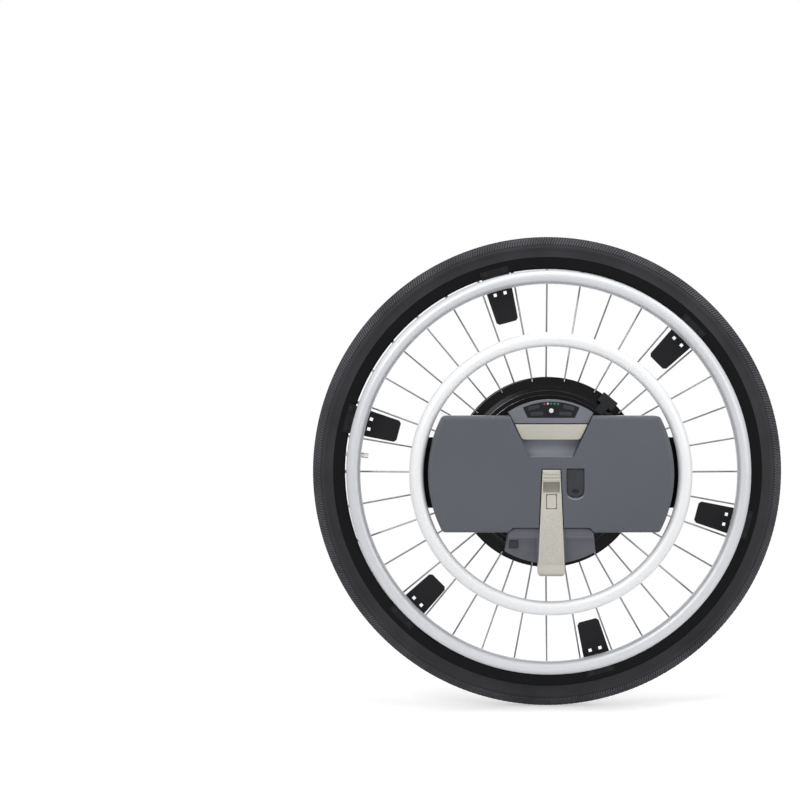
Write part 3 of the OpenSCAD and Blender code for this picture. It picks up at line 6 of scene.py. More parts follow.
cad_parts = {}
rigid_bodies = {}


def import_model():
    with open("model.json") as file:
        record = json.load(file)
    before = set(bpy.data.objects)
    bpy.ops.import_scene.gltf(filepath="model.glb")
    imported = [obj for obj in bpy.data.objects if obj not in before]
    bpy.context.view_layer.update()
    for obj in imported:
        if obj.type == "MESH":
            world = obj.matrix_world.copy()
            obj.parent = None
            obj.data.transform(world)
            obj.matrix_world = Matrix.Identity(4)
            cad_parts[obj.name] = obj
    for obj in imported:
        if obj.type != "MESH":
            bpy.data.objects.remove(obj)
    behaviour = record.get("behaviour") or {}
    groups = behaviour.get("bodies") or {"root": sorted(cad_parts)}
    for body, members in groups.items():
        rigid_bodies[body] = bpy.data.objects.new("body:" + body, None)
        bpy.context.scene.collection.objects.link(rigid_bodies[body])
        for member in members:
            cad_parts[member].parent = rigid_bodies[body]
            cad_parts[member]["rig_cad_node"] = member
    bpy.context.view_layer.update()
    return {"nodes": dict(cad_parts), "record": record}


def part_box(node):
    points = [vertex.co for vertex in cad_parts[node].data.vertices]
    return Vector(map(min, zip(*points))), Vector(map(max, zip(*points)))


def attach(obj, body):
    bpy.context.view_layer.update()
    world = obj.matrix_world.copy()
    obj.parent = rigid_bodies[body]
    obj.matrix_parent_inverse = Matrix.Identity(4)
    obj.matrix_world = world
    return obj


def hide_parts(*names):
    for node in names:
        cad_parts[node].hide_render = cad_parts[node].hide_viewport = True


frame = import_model()
bpy.ops.object.select_all(action="DESELECT")
nodes = frame["nodes"]
mm = 0.001  # all sizes below are in mm and all angles in degrees, unless a note says otherwise
wheelPlane = 46  # from the mount to the wheel's middle plane
print("frame loaded:", len(nodes), "nodes")


def paint(red, green, blue):  # screen colour, 0 to 255, as linear light
    channels = []
    for value in (red, green, blue):
        share = value / 255
        channels.append(share / 12.92 if share < 0.04045 else ((share + 0.055) / 1.055) ** 2.4)
    return (*channels, 1)


def addNode(material, kind, inputs=None, **settings):
    node = material.node_tree.nodes.new(kind)
    for name, value in settings.items():
        setattr(node, name, value)
    for name, value in (inputs or {}).items():
        node.inputs[name].default_value = value
    return node


def join(material, source, target):
    material.node_tree.links.new(source, target)


def reckon(material, operation, first, second):  # one step of arithmetic on two values
    node = addNode(material, "ShaderNodeMath", operation=operation)
    join(material, first, node.inputs[0])
    join(material, second, node.inputs[1])
    return node.outputs[0]


def spread(material, value, fromSpan=(0, 1), toSpan=(0, 1), **settings):  # carries a value from span to span
    node = addNode(material, "ShaderNodeMapRange", dict(enumerate((*fromSpan, *toSpan), 1)), **settings)
    join(material, value, node.inputs["Value"])
    return node.outputs["Result"]


# what a finish has where its own look says nothing else
baseLook = {"metal": 0, "shine": 0.5, "coat": 0, "coatRough": 0.2, "cloud": 18, "cloudDetail": 2,
            "cloudShare": 0.5, "grainDetail": 3, "grainRough": 0.6, "shadeStops": (0.36, 0.64),
            "glossSpan": (0.3, 0.7), "bump": 0.2, "depth": 0.1, "roundSamples": 4}


def startMaterial(name, ownLook):
    look = {**baseLook, **ownLook}
    material = bpy.data.materials.new(name)
    material.use_nodes = True
    shader = material.node_tree.nodes["Principled BSDF"]
    shader.inputs["Metallic"].default_value = look["metal"]
    shader.inputs["Specular IOR Level"].default_value = look["shine"]
    shader.inputs["Coat Weight"].default_value = look["coat"]
    shader.inputs["Coat Roughness"].default_value = look["coatRough"]
    place = addNode(material, "ShaderNodeTexCoord").outputs["Object"]
    return look, material, shader, place


def aroundAxle(material, place, alongScale):  # radius, depth and angle, for turned and brushed work
    split = addNode(material, "ShaderNodeSeparateXYZ")
    join(material, place, split.inputs[0])
    flat = addNode(material, "ShaderNodeCombineXYZ")
    join(material, split.outputs["X"], flat.inputs["X"])
    join(material, split.outputs["Z"], flat.inputs["Y"])
    radius = addNode(material, "ShaderNodeVectorMath", operation="LENGTH")
    join(material, flat.outputs[0], radius.inputs[0])
    turn = reckon(material, "ARCTAN2", split.outputs["Z"], split.outputs["X"])
    slow = addNode(material, "ShaderNodeMath", {1: alongScale}, operation="MULTIPLY")
    join(material, turn, slow.inputs[0])
    polar = addNode(material, "ShaderNodeCombineXYZ")
    join(material, radius.outputs["Value"], polar.inputs["X"])
    join(material, split.outputs["Y"], polar.inputs["Y"])
    join(material, slow.outputs[0], polar.inputs["Z"])
    return polar.outputs[0]


def finish(name, ownLook):  # soft clouds of colour, a fine grain in the gloss and the surface, rounded edges
    look, material, shader, place = startMaterial(name, ownLook)
    if "turned" in look:
        place = aroundAxle(material, place, look["turned"])
    if "stretch" in look:
        stretch = addNode(material, "ShaderNodeMapping", {"Scale": look["stretch"]})
        join(material, place, stretch.inputs["Vector"])
        place = stretch.outputs[0]
    grain = addNode(material, "ShaderNodeTexNoise", {"Scale": look["grain"], "Detail": look["grainDetail"],
                                                     "Roughness": look["grainRough"]})
    cloud = addNode(material, "ShaderNodeTexNoise", {"Scale": look["cloud"], "Detail": look["cloudDetail"]})
    for noise in (grain, cloud):
        join(material, place, noise.inputs["Vector"])
    blend = addNode(material, "ShaderNodeMix", {0: look["cloudShare"]}, data_type="FLOAT")
    join(material, grain.outputs["Fac"], blend.inputs[2])
    join(material, cloud.outputs["Fac"], blend.inputs[3])
    ramp = addNode(material, "ShaderNodeValToRGB")
    colours = (look["dark"], look["light"])
    for stop, position, colour in zip(ramp.color_ramp.elements, look["shadeStops"], colours):
        stop.position = position
        stop.color = colour
    join(material, blend.outputs[0], ramp.inputs["Fac"])
    join(material, ramp.outputs["Color"], shader.inputs["Base Color"])
    gloss = spread(material, grain.outputs["Fac"], look["glossSpan"], look["rough"])
    join(material, gloss, shader.inputs["Roughness"])
    bump = addNode(material, "ShaderNodeBump", {"Strength": look["bump"], "Distance": look["depth"] * mm})
    join(material, grain.outputs["Fac"], bump.inputs["Height"])
    if "round" in look:
        edge = addNode(material, "ShaderNodeBevel", {"Radius": look["round"] * mm},
                       samples=look["roundSamples"])
        join(material, edge.outputs[0], bump.inputs["Normal"])
    join(material, bump.outputs[0], shader.inputs["Normal"])
    return material


# finishes of the record's slots
finishLooks = {
    "tyre_rubber": {"dark": paint(40, 40, 43), "light": paint(58, 58, 62), "rough": (0.62, 0.85),
                    "grain": 900, "bump": 0.5, "depth": 0.25, "shine": 0.3},
    "soft_rubber": {"dark": paint(46, 47, 50), "light": paint(62, 63, 67), "rough": (0.55, 0.75),
                    "grain": 1400, "bump": 0.25, "shine": 0.3, "round": 0.3},
    "tape": {"dark": paint(205, 204, 198), "light": paint(232, 231, 226), "rough": (0.7, 0.9),
             "grain": 1200, "bump": 0.4},
    "black_alloy": {"dark": paint(9, 9, 11), "light": paint(15, 15, 18), "rough": (0.26, 0.38),
                    "grain": 2200, "turned": 0.02, "bump": 0.12, "depth": 0.05, "shine": 0.12, "round": 0.9},
    "black_paint": {"dark": paint(14, 14, 16), "light": paint(22, 22, 25), "rough": (0.34, 0.5),
                    "grain": 1600, "bump": 0.2, "depth": 0.08, "shine": 0.16, "round": 0.8},
    "spoke_steel": {"dark": paint(120, 121, 124), "light": paint(162, 163, 166), "rough": (0.2, 0.34),
                    "grain": 2600, "metal": 1, "bump": 0.1, "depth": 0.03},
    "bright_metal": {"dark": paint(204, 203, 200), "light": paint(232, 231, 228), "rough": (0.16, 0.28),
                     "grain": 1500, "metal": 1, "bump": 0.08, "depth": 0.03, "round": 0.15},
    "steel": {"dark": paint(150, 151, 154), "light": paint(190, 191, 194), "rough": (0.22, 0.38),
              "grain": 2200, "metal": 1, "turned": 0.05, "bump": 0.12, "depth": 0.04, "round": 0.25},
    "alloy": {"dark": paint(172, 173, 176), "light": paint(204, 205, 208), "rough": (0.3, 0.45),
              "grain": 2200, "metal": 1, "turned": 0.05, "bump": 0.12, "depth": 0.05, "round": 0.3},
    "lamination": {"dark": paint(84, 84, 88), "light": paint(128, 128, 132), "rough": (0.35, 0.55),
                   "grain": 700, "metal": 1, "stretch": (0.02, 3, 0.02), "bump": 0.5, "depth": 0.2},
    "copper": {"dark": paint(148, 74, 36), "light": paint(208, 122, 70), "rough": (0.22, 0.36),
               "grain": 900, "metal": 1, "stretch": (1, 0.2, 1), "bump": 0.5, "depth": 0.2},
    "magnet": {"dark": paint(176, 176, 178), "light": paint(206, 206, 208), "rough": (0.18, 0.3),
               "grain": 1500, "metal": 1, "bump": 0.1, "round": 0.3},
    "board": {"dark": paint(18, 84, 48), "light": paint(34, 118, 70), "rough": (0.3, 0.5),
              "grain": 500, "bump": 0.3, "depth": 0.1, "coat": 0.3},
    "black_plastic": {"dark": paint(20, 20, 23), "light": paint(29, 29, 33), "rough": (0.42, 0.58),
                      "grain": 2400, "bump": 0.3, "depth": 0.1, "shine": 0.2, "round": 0.5},
    "slate_plastic": {"dark": paint(84, 86, 94), "light": paint(94, 96, 104), "rough": (0.4, 0.52),
                      "grain": 2600, "bump": 0.25, "depth": 0.08, "shine": 0.4, "cloud": 5, "round": 0.8},
    "keypad": {"dark": paint(14, 14, 17), "light": paint(22, 22, 26), "rough": (0.26, 0.38),
               "grain": 1800, "bump": 0.08, "depth": 0.05, "shine": 0.2, "coat": 0.1, "round": 0.3},
    "champagne": {"dark": paint(184, 181, 170), "light": paint(205, 202, 192), "rough": (0.38, 0.5),
                  "grain": 1900, "stretch": (1, 1, 0.08), "metal": 0.6, "bump": 0.15, "depth": 0.05,
                  "round": 0.5},
    "cell": {"dark": paint(58, 108, 92), "light": paint(76, 132, 112), "rough": (0.28, 0.4),
             "grain": 900, "bump": 0.1, "coat": 0.3},
}

# pieces whose own shade stands in for the finish of their slot
shadeLooks = {
    "panel_housing": {"dark": paint(108, 110, 118), "light": paint(120, 122, 131), "rough": (0.42, 0.55),
                      "grain": 2600, "bump": 0.25, "depth": 0.08, "shine": 0.4, "cloud": 5, "round": 0.9},
    "push_rim": {"dark": paint(204, 206, 209), "light": paint(222, 224, 227), "rough": (0.4, 0.48),
                 "grain": 900, "turned": 0.05, "metal": 0.4, "shine": 0.4, "bump": 0.03, "depth": 0.03,
                 "cloud": 9, "cloudShare": 0.8, "round": 0.3},
    "control_ring": {"dark": paint(233, 234, 236), "light": paint(246, 247, 248), "rough": (0.42, 0.55),
                     "grain": 900, "turned": 0.05, "metal": 0.25, "shine": 0.4, "bump": 0.03, "depth": 0.03,
                     "cloud": 9, "cloudShare": 0.8, "round": 0.3},
    "hub_shell": {"dark": paint(10, 10, 12), "light": paint(16, 16, 19), "rough": (0.18, 0.26),
                  "grain": 2200, "turned": 0.02, "bump": 0.1, "depth": 0.04, "shine": 0.16, "round": 1.2},
    "bracket_screws": {"dark": paint(16, 16, 18), "light": paint(25, 25, 28), "rough": (0.3, 0.42),
                       "grain": 1600, "bump": 0.15, "depth": 0.05, "shine": 0.3, "round": 0.5},
    "sensor_pod": {"dark": paint(34, 35, 38), "light": paint(46, 47, 51), "rough": (0.45, 0.6),
                   "grain": 2400, "bump": 0.3, "depth": 0.1, "shine": 0.3, "round": 0.5},
    "lower_cover": {"dark": paint(92, 94, 102), "light": paint(105, 107, 115), "rough": (0.42, 0.55),
                    "grain": 2600, "bump": 0.25, "depth": 0.08, "shine": 0.4, "cloud": 5, "round": 0.9},
}

# status lights: five windows told apart by their place along x
lightLook = {"half": 11, "grain": 900, "rough": (0.15, 0.3), "coat": 0.5,
             "colours": (paint(150, 44, 46), paint(192, 192, 192), paint(46, 112, 78), paint(50, 118, 84),
                         paint(54, 122, 88))}


def lightFinish(name, ownLook):
    look, material, shader, place = startMaterial(name, ownLook)
    split = addNode(material, "ShaderNodeSeparateXYZ")
    join(material, place, split.inputs[0])
    row = spread(material, split.outputs["X"], (-look["half"] * mm, look["half"] * mm))
    ramp = addNode(material, "ShaderNodeValToRGB")
    ramp.color_ramp.interpolation = "CONSTANT"
    for count, colour in enumerate(look["colours"]):
        spot = count / len(look["colours"])
        stop = ramp.color_ramp.elements[0] if count == 0 else ramp.color_ramp.elements.new(spot)
        stop.position = spot
        stop.color = colour
    ramp.color_ramp.elements.remove(ramp.color_ramp.elements[-1])
    join(material, row, ramp.inputs["Fac"])
    join(material, ramp.outputs["Color"], shader.inputs["Base Color"])
    grain = addNode(material, "ShaderNodeTexNoise", {"Scale": look["grain"]})
    join(material, place, grain.inputs["Vector"])
    gloss = spread(material, grain.outputs["Fac"], toSpan=look["rough"])
    join(material, gloss, shader.inputs["Roughness"])
    return material


finishes = {slot: finish(slot, look) for slot, look in finishLooks.items()}
finishes["light"] = lightFinish("light", lightLook)
shades = {node: finish(node + "Shade", look) for node, look in shadeLooks.items()}
for part in frame["record"]["subparts"]:
    materials = nodes[part["node"]].data.materials
    materials.clear()
    materials.append(shades.get(part["node"]) or finishes[part["material_slot"]])
print("finishes on", len(nodes), "nodes")

# hand tools: square is how truly a face or an edge has to lie along an axis, from 0 to 1
handTools = {"square": 0.9, "near": 0.1, "weld": 0.01, "cadWeld": 0.002, "cadFlat": 0.4, "edgeCuts": 3,
             "sharp": 40}


def pick(piece, kind, test):  # selects points, edges or faces by their place
    bpy.ops.object.mode_set(mode="EDIT")
    bpy.ops.mesh.select_mode(type=kind)
    bpy.ops.mesh.select_all(action="DESELECT")
    bpy.ops.object.mode_set(mode="OBJECT")
    mesh = piece.data
    if kind == "VERT":
        for vertex in mesh.vertices:
            vertex.select = test(vertex.co)
    if kind == "EDGE":
        for edge in mesh.edges:
            ends = [mesh.vertices[index].co for index in edge.vertices]
            edge.select = test((ends[0] + ends[1]) / 2, (ends[1] - ends[0]).normalized())
    if kind == "FACE":
        for face in mesh.polygons:
            face.select = test(face.center, face.normal)
    bpy.ops.object.mode_set(mode="EDIT")


def facesFront(centre, normal):
    return normal.y < -handTools["square"]


def runsDeep(centre, along):  # edges that run along the axle
    return abs(along.y) > handTools["square"]


def runsAcross(centre, along):
    return abs(along.x) > handTools["square"]


def startPiece(name):  # the fresh primitive, with its place put into its mesh
    piece = bpy.context.object
    piece.name = name
    bpy.ops.object.transform_apply(location=True, rotation=True, scale=True)
    bpy.ops.object.mode_set(mode="EDIT")
    return piece


def startBlock(name, low, high):  # a cube stretched between two corners
    bpy.ops.mesh.primitive_cube_add(size=1, location=(Vector(low) + Vector(high)) / 2,
                                    scale=Vector(high) - Vector(low))
    return startPiece(name)


def shape(piece, kind, **settings):  # adds a modifier and applies it
    bpy.ops.object.mode_set(mode="OBJECT")
    modifier = piece.modifiers.new(kind.lower(), kind)
    for name, value in settings.items():
        setattr(modifier, name, value)
    bpy.ops.object.modifier_apply(modifier=modifier.name)


def soften(piece, sizes):  # rounds the edges that are sharper than the limit
    sizes = {**handTools, **sizes}
    shape(piece, "BEVEL", width=sizes["edge"] * mm, segments=sizes["edgeCuts"],
          angle_limit=math.radians(sizes["sharp"]))


def cutThrough(places, normal=(0, 0, 1)):  # straight cuts across the whole piece, level ones unless told
    bpy.ops.object.mode_set(mode="EDIT")
    for place in places:
        bpy.ops.mesh.select_all(action="SELECT")
        bpy.ops.mesh.bisect(plane_co=Vector(normal) * place, plane_no=normal)


def closeSpin():  # joins the seam of a spun shape and turns its faces outwards
    bpy.ops.object.mode_set(mode="EDIT")
    bpy.ops.mesh.select_all(action="SELECT")
    bpy.ops.mesh.remove_doubles(threshold=handTools["weld"] * mm)
    bpy.ops.mesh.normals_make_consistent(inside=False)


def only(piece):
    bpy.ops.object.mode_set(mode="OBJECT")
    bpy.ops.object.select_all(action="DESELECT")
    piece.select_set(True)
    bpy.context.view_layer.objects.active = piece


def copyNode(node, name):  # a welded copy of a CAD piece, with its flat faces whole again
    only(nodes[node])
    bpy.ops.object.duplicate()
    piece = bpy.context.object
    piece.name = name
    del piece["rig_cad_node"]
    bpy.ops.mesh.customdata_custom_splitnormals_clear()
    bpy.ops.object.mode_set(mode="EDIT")
    bpy.ops.mesh.select_all(action="SELECT")
    bpy.ops.mesh.remove_doubles(threshold=handTools["cadWeld"] * mm)
    bpy.ops.mesh.dissolve_limited(angle_limit=math.radians(handTools["cadFlat"]))
    return piece


# gives a finished piece the finish of its slot or its own, smooth shading and its body, and hides the node
# that it stands for
def settle(piece, slot, body, node=None, smooth=35, material=None):
    only(piece)
    bpy.ops.object.transform_apply(location=True, rotation=True, scale=True)
    bpy.ops.object.shade_smooth_by_angle(angle=math.radians(smooth))
    piece.data.materials.clear()
    piece.data.materials.append(material or finishes[slot])
    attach(piece, body)
    if node:
        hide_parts(node)
    piece.select_set(False)
    print(piece.name, len(piece.data.polygons), "faces on", body)


# tyre: a lathed casing with a stepped tread bed and a moulded line on each wall
tyreShape = {"sectionPoints": 60, "turns": 300, "flank": 276.4, "lip": 269.4, "lipShare": 1.01, "wall": 0.8,
             "treadDepth": 1.1, "treadAngle": 79, "lineAngle": 96, "lineHalf": 3, "lineRise": 1.025,
             "smooth": 50}
tyreLow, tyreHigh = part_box("tyre")
tyreY = (tyreLow.y + tyreHigh.y) / 2
sectionR = (tyreHigh.y - tyreLow.y) / 2
ringR = tyreHigh.z - sectionR
treadDepth = tyreShape["treadDepth"] * mm


def sectionAngle(point):  # from the crown of the tread, in degrees
    return abs(math.degrees(math.atan2(point.y - tyreY, point.x - ringR)))


def makeTyre():
    middle = (ringR, tyreY, 0)
    bpy.ops.mesh.primitive_circle_add(vertices=tyreShape["sectionPoints"], radius=sectionR, location=middle)
    tyre = startPiece("tyreCasing")
    pick(tyre, "VERT", lambda point: point.x < tyreShape["flank"] * mm)
    bpy.ops.mesh.delete(type="VERT")
    pick(tyre, "VERT", lambda point: sectionAngle(point) < tyreShape["treadAngle"])
    bed = 1 - treadDepth / sectionR
    bpy.ops.transform.resize(value=(bed, bed, 1), center_override=middle)
    line, rise = tyreShape["lineAngle"], tyreShape["lineRise"]
    pick(tyre, "VERT", lambda point: abs(sectionAngle(point) - line) < tyreShape["lineHalf"])
    bpy.ops.transform.resize(value=(rise, rise, 1), center_override=middle)
    bpy.ops.object.mode_set(mode="OBJECT")
    lowest = min(vertex.co.x for vertex in tyre.data.vertices)
    pick(tyre, "VERT", lambda point: point.x < lowest + handTools["near"] * mm)
    inward = tyreShape["lip"] * mm - lowest
    bpy.ops.mesh.extrude_vertices_move(TRANSFORM_OT_translate={"value": (inward, 0, 0)})
    bpy.ops.transform.resize(value=(1, tyreShape["lipShare"], 1), center_override=(0, tyreY, 0))
    bpy.ops.mesh.select_all(action="SELECT")
    bpy.ops.mesh.spin(steps=tyreShape["turns"], angle=2 * math.pi, center=(0, tyreY, 0), axis=(0, 1, 0))
    closeSpin()
    shape(tyre, "SOLIDIFY", thickness=tyreShape["wall"] * mm, offset=-1)
    settle(tyre, "tyre_rubber", "wheel", "tyre", smooth=tyreShape["smooth"])


# tread: slanted bars on both shoulders and blocks at the crown, one pitch modelled and then repeated
treadShape = {"pitches": 280, "sink": 1.3, "barSteps": 5, "barsPerPitch": 2, "blockPlaces": (0.25, 0.75),
              "bar": {"angles": (24, 77), "width": 1.7, "slant": 20},
              "block": {"angles": (3, 20), "width": 4.6, "slant": -18}, "smooth": 30}
treadLook = {"dark": paint(58, 58, 61), "light": paint(98, 98, 103), "rough": (0.65, 0.9), "grain": 700,
             "bump": 0.5, "depth": 0.2, "shine": 0.3}


def makeLug(lugShape, shift, side):  # one raised bar of tread, bent over the section
    tall = treadDepth * treadShape["sink"]
    base = sectionR - tall
    first, last = (math.radians(side * angle) for angle in lugShape["angles"])
    start = (ringR + base * math.cos(first), tyreY + base * math.sin(first), 0)
    bpy.ops.mesh.primitive_plane_add(size=lugShape["width"] * mm, location=start,
                                     rotation=(0, math.pi / 2, 0))
    lug = startPiece("treadLug")
    bpy.ops.mesh.select_all(action="SELECT")
    bpy.ops.transform.resize(value=(1, 0, 1))
    bpy.ops.mesh.remove_doubles(threshold=handTools["weld"] * mm)
    bpy.ops.mesh.select_all(action="SELECT")
    bpy.ops.mesh.spin(steps=treadShape["barSteps"], angle=first - last, center=(ringR, tyreY, 0),
                      axis=(0, 0, 1))
    bpy.ops.object.mode_set(mode="OBJECT")
    centre = lug.data.polygons[treadShape["barSteps"] // 2]
    spot = centre.center.copy()
    outward = Vector((spot.x - ringR, spot.y - tyreY, 0))
    if centre.normal.dot(outward) < 0:
        bpy.ops.object.mode_set(mode="EDIT")
        bpy.ops.mesh.select_all(action="SELECT")
        bpy.ops.mesh.flip_normals()
    shape(lug, "SOLIDIFY", thickness=tall, offset=1)
    middle = Matrix.Translation(spot)
    lean = Matrix.Rotation(math.radians(lugShape["slant"] * side), 4, outward)
    lug.matrix_world = Matrix.Rotation(shift, 4, "Y") @ middle @ lean @ middle.inverted()
    bpy.ops.object.transform_apply(location=True, rotation=True, scale=True)
    return lug


def makeTread():
    pitch = 2 * math.pi / treadShape["pitches"]
    bars = treadShape["barsPerPitch"]
    lugs = []
    for side, blockPlace in zip((-1, 1), treadShape["blockPlaces"]):
        for bar in range(bars):
            lugs.append(makeLug(treadShape["bar"], pitch * bar / bars, side))
        lugs.append(makeLug(treadShape["block"], pitch * blockPlace, side))
    bpy.ops.object.select_all(action="DESELECT")
    for lug in lugs:
        lug.select_set(True)
    tread = lugs[0]
    bpy.context.view_layer.objects.active = tread
    bpy.ops.object.join()
    tread.name = "tyreTread"
    bpy.ops.object.empty_add(rotation=(0, pitch, 0))
    step = bpy.context.object
    only(tread)
    shape(tread, "ARRAY", count=treadShape["pitches"], use_relative_offset=False, use_object_offset=True,
          offset_object=step)
    bpy.data.objects.remove(step)
    settle(tread, "tyre_rubber", "wheel", smooth=treadShape["smooth"],
           material=finish("treadRubber", treadLook))


# thumb latch: three grip ridges over a hollow for the thumb; a ridge is its level and half height
latchShape = {"topShare": 0.9, "ridges": ((2.4, 2.1), (-2.8, 1.1), (-6.6, 1.1)), "rise": 1.5,
              "ridgeShare": (0.84, 1, 0.84), "hollow": (-9.0, -21.8), "hollowCuts": 8, "hollowDepth": 1.9,
              "hollowRim": 1.9, "hollowSlope": 0.9, "hollowRound": 0.6, "hollowFacing": 0.4, "edge": 0.25}
# blasted finish for the thumb hollow: the grain and roughness are the finish, the darker colour is partly
# painted shade of the hollow
blastedShadeLook = {"dark": paint(124, 121, 113), "light": paint(146, 143, 134), "rough": (0.55, 0.7),
               "grain": 2600, "metal": 0.4, "bump": 0.4, "depth": 0.1}


def makeLatch():
    low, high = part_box("thumb_latch")
    near = handTools["near"] * mm
    rise = latchShape["rise"] * mm
    front = low.y + rise
    latch = startBlock("thumbLatch", (low.x, front, low.z), high)
    pick(latch, "VERT", lambda point: point.z > (low.z + high.z) / 2)
    bpy.ops.transform.resize(value=(latchShape["topShare"], 1, 1), center_override=(0, 0, 0))
    ridges = [((level - half) * mm, (level + half) * mm) for level, half in latchShape["ridges"]]
    top, bottom = (level * mm for level in latchShape["hollow"])
    cuts = latchShape["hollowCuts"]
    steps = [top + (bottom - top) * count / cuts for count in range(cuts + 1)]
    cutThrough([level for ridge in ridges for level in ridge] + steps)
    rim = high.x - latchShape["hollowRim"] * mm
    floorEdge = rim - latchShape["hollowSlope"] * mm
    cutThrough((-rim, -floorEdge, floorEdge, rim), (1, 0, 0))
    for count, level in enumerate(steps):
        depth = latchShape["hollowDepth"] * math.sin(math.pi * count / cuts) ** latchShape["hollowRound"]
        pick(latch, "VERT", lambda point: abs(point.z - level) < near and point.y < front + near
             and abs(point.x) < floorEdge + near)
        bpy.ops.transform.translate(value=(0, depth * mm, 0))
    for foot, head in ridges:
        pick(latch, "FACE", lambda centre, normal: facesFront(centre, normal) and foot < centre.z < head)
        bpy.ops.mesh.extrude_region_move(TRANSFORM_OT_translate={"value": (0, -rise, 0)})
        bpy.ops.transform.resize(value=latchShape["ridgeShare"])
    soften(latch, latchShape)
    settle(latch, "champagne", "latch", "thumb_latch")
    latch.data.materials.append(finish("blastedPaintedShade", blastedShadeLook))
    # front-facing faces inside the hollow take the darker finish, partly painted shade of the hollow
    for face in latch.data.polygons:
        inside = bottom < face.center.z < top and abs(face.center.x) < rim
        if inside and face.normal.y < -latchShape["hollowFacing"]:
            face.material_index = 1


# lever button: a rounded key with a shallow dish
buttonShape = {"gap": 0.45, "corner": 1.6, "cornerCuts": 5, "rim": 1.2, "dish": 0.35, "edge": 0.4}


def makeLeverButton():
    low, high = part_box("lever_button")
    gap = Vector((buttonShape["gap"], 0, buttonShape["gap"])) * mm
    button = startBlock("leverButton", low + gap, high - gap)
    pick(button, "EDGE", runsDeep)
    bpy.ops.mesh.bevel(offset=buttonShape["corner"] * mm, segments=buttonShape["cornerCuts"])
    pick(button, "FACE", facesFront)
    bpy.ops.mesh.inset(thickness=buttonShape["rim"] * mm)
    bpy.ops.transform.translate(value=(0, buttonShape["dish"] * mm, 0))
    soften(button, buttonShape)
    settle(button, "champagne", "lever_key", "lever_button")


# lock lever: round foot corners and a crease above the foot
leverShape = {"foot": 4.8, "footCuts": 7, "crease": -113.5, "creaseHalf": 0.5, "creaseDepth": 0.5,
              "edge": 0.9, "sharp": 32}


def roundFoot(low, high):  # trims the two lower corners along an arc
    radius = leverShape["foot"] * mm
    for side in (-1, 1):
        corner = Vector((side * (high.x - radius), 0, low.z + radius))
        for count in range(1, leverShape["footCuts"]):
            lean = math.pi / 2 * count / leverShape["footCuts"]
            outward = Vector((side * math.sin(lean), 0, -math.cos(lean)))
            bpy.ops.mesh.select_all(action="SELECT")
            bpy.ops.mesh.bisect(plane_co=corner + outward * radius, plane_no=outward, clear_outer=True,
                                use_fill=True)


def makeLever():
    lever = copyNode("lock_lever", "lockLever")
    roundFoot(*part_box("lock_lever"))
    foot, head = ((leverShape["crease"] + side * leverShape["creaseHalf"]) * mm for side in (-1, 1))
    cutThrough((foot, head))
    pick(lever, "FACE", lambda centre, normal: facesFront(centre, normal) and foot < centre.z < head)
    bpy.ops.transform.translate(value=(0, leverShape["creaseDepth"] * mm, 0))
    soften(lever, leverShape)
    settle(lever, "champagne", "lever", "lock_lever")


# bare inlaid plate on the lever's face, which narrows as the lever does
plateShape = {"top": -48, "bottom": -110, "border": 2.3, "rise": 0.3, "sunk": 0.3, "corner": 1.4,
              "cornerCuts": 5, "edge": 0.2, "edgeCuts": 2}
plateLook = {"dark": paint(170, 167, 158), "light": paint(202, 199, 190), "rough": (0.45, 0.6), "grain": 1100,
             "metal": 0.5, "bump": 0.3, "depth": 0.08, "cloudShare": 0.2}


def makeLeverPlate():
    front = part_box("lock_lever")[0].y
    near = handTools["near"] * mm
    top, bottom = plateShape["top"] * mm, plateShape["bottom"] * mm
    rows = [vertex.co for vertex in nodes["lock_lever"].data.vertices if vertex.co.y < front + near]
    foot = max(rows, key=lambda point: (point.x, -point.z))
    head = max(rows, key=lambda point: (point.z, point.x))
    slope = (foot.x - head.x) / (foot.z - head.z)
    border = plateShape["border"] * mm
    topHalf, footHalf = (head.x + (level - head.z) * slope - border for level in (top, bottom))
    plate = startBlock("leverPlate", (-footHalf, front - plateShape["rise"] * mm, bottom),
                       (footHalf, front + plateShape["sunk"] * mm, top))
    pick(plate, "VERT", lambda point: point.z > (top + bottom) / 2)
    bpy.ops.transform.resize(value=(topHalf / footHalf, 1, 1), center_override=(0, 0, 0))
    pick(plate, "EDGE", runsDeep)
    bpy.ops.mesh.bevel(offset=plateShape["corner"] * mm, segments=plateShape["cornerCuts"])
    soften(plate, plateShape)
    settle(plate, "champagne", "lever", material=finish("barePlate", plateLook))


# grip plate: round lower corners and a fine satin face
gripShape = {"corner": 3.6, "cornerCuts": 6, "cornerReach": 0.5, "edge": 0.7, "sharp": 32}
gripLook = {"dark": paint(172, 169, 158), "light": paint(188, 185, 175), "rough": (0.4, 0.5), "grain": 2300,
            "stretch": (0.3, 1, 1), "metal": 0.6, "bump": 0.12, "depth": 0.04, "cloudShare": 0.7}


def makeGripPlate():
    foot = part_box("grip_plate")[0].z + gripShape["cornerReach"] * mm
    plate = copyNode("grip_plate", "gripPlate")
    pick(plate, "EDGE", lambda centre, along: runsDeep(centre, along) and centre.z < foot)
    bpy.ops.mesh.bevel(offset=gripShape["corner"] * mm, segments=gripShape["cornerCuts"])
    soften(plate, gripShape)
    settle(plate, "champagne", "battery", "grip_plate", material=finish("satinGrip", gripLook))


# sheet in the finger hollow that curves up to the lip, in a lighter grey than the case: painted light on the
# hollow's floor
# floor and lip are how far these lie before the wheel's plane
litSheetShape = {"floor": 72.5, "lip": 92.2, "low": 21.2, "top": 58, "curve": 12, "curveCuts": 8, "gap": 0.35,
               "sheet": 0.3, "footHalf": 27.0, "slope": 0.4704, "levelGap": 0.002, "levelDigits": 6}
# lighter grey of the sheet: painted light where the hollow's floor catches the lamps
litSheetLook = {"dark": paint(152, 154, 165), "light": paint(168, 170, 181), "rough": (0.6, 0.75),
              "grain": 2600, "bump": 0.25, "depth": 0.08, "shine": 0.3, "cloud": 5}


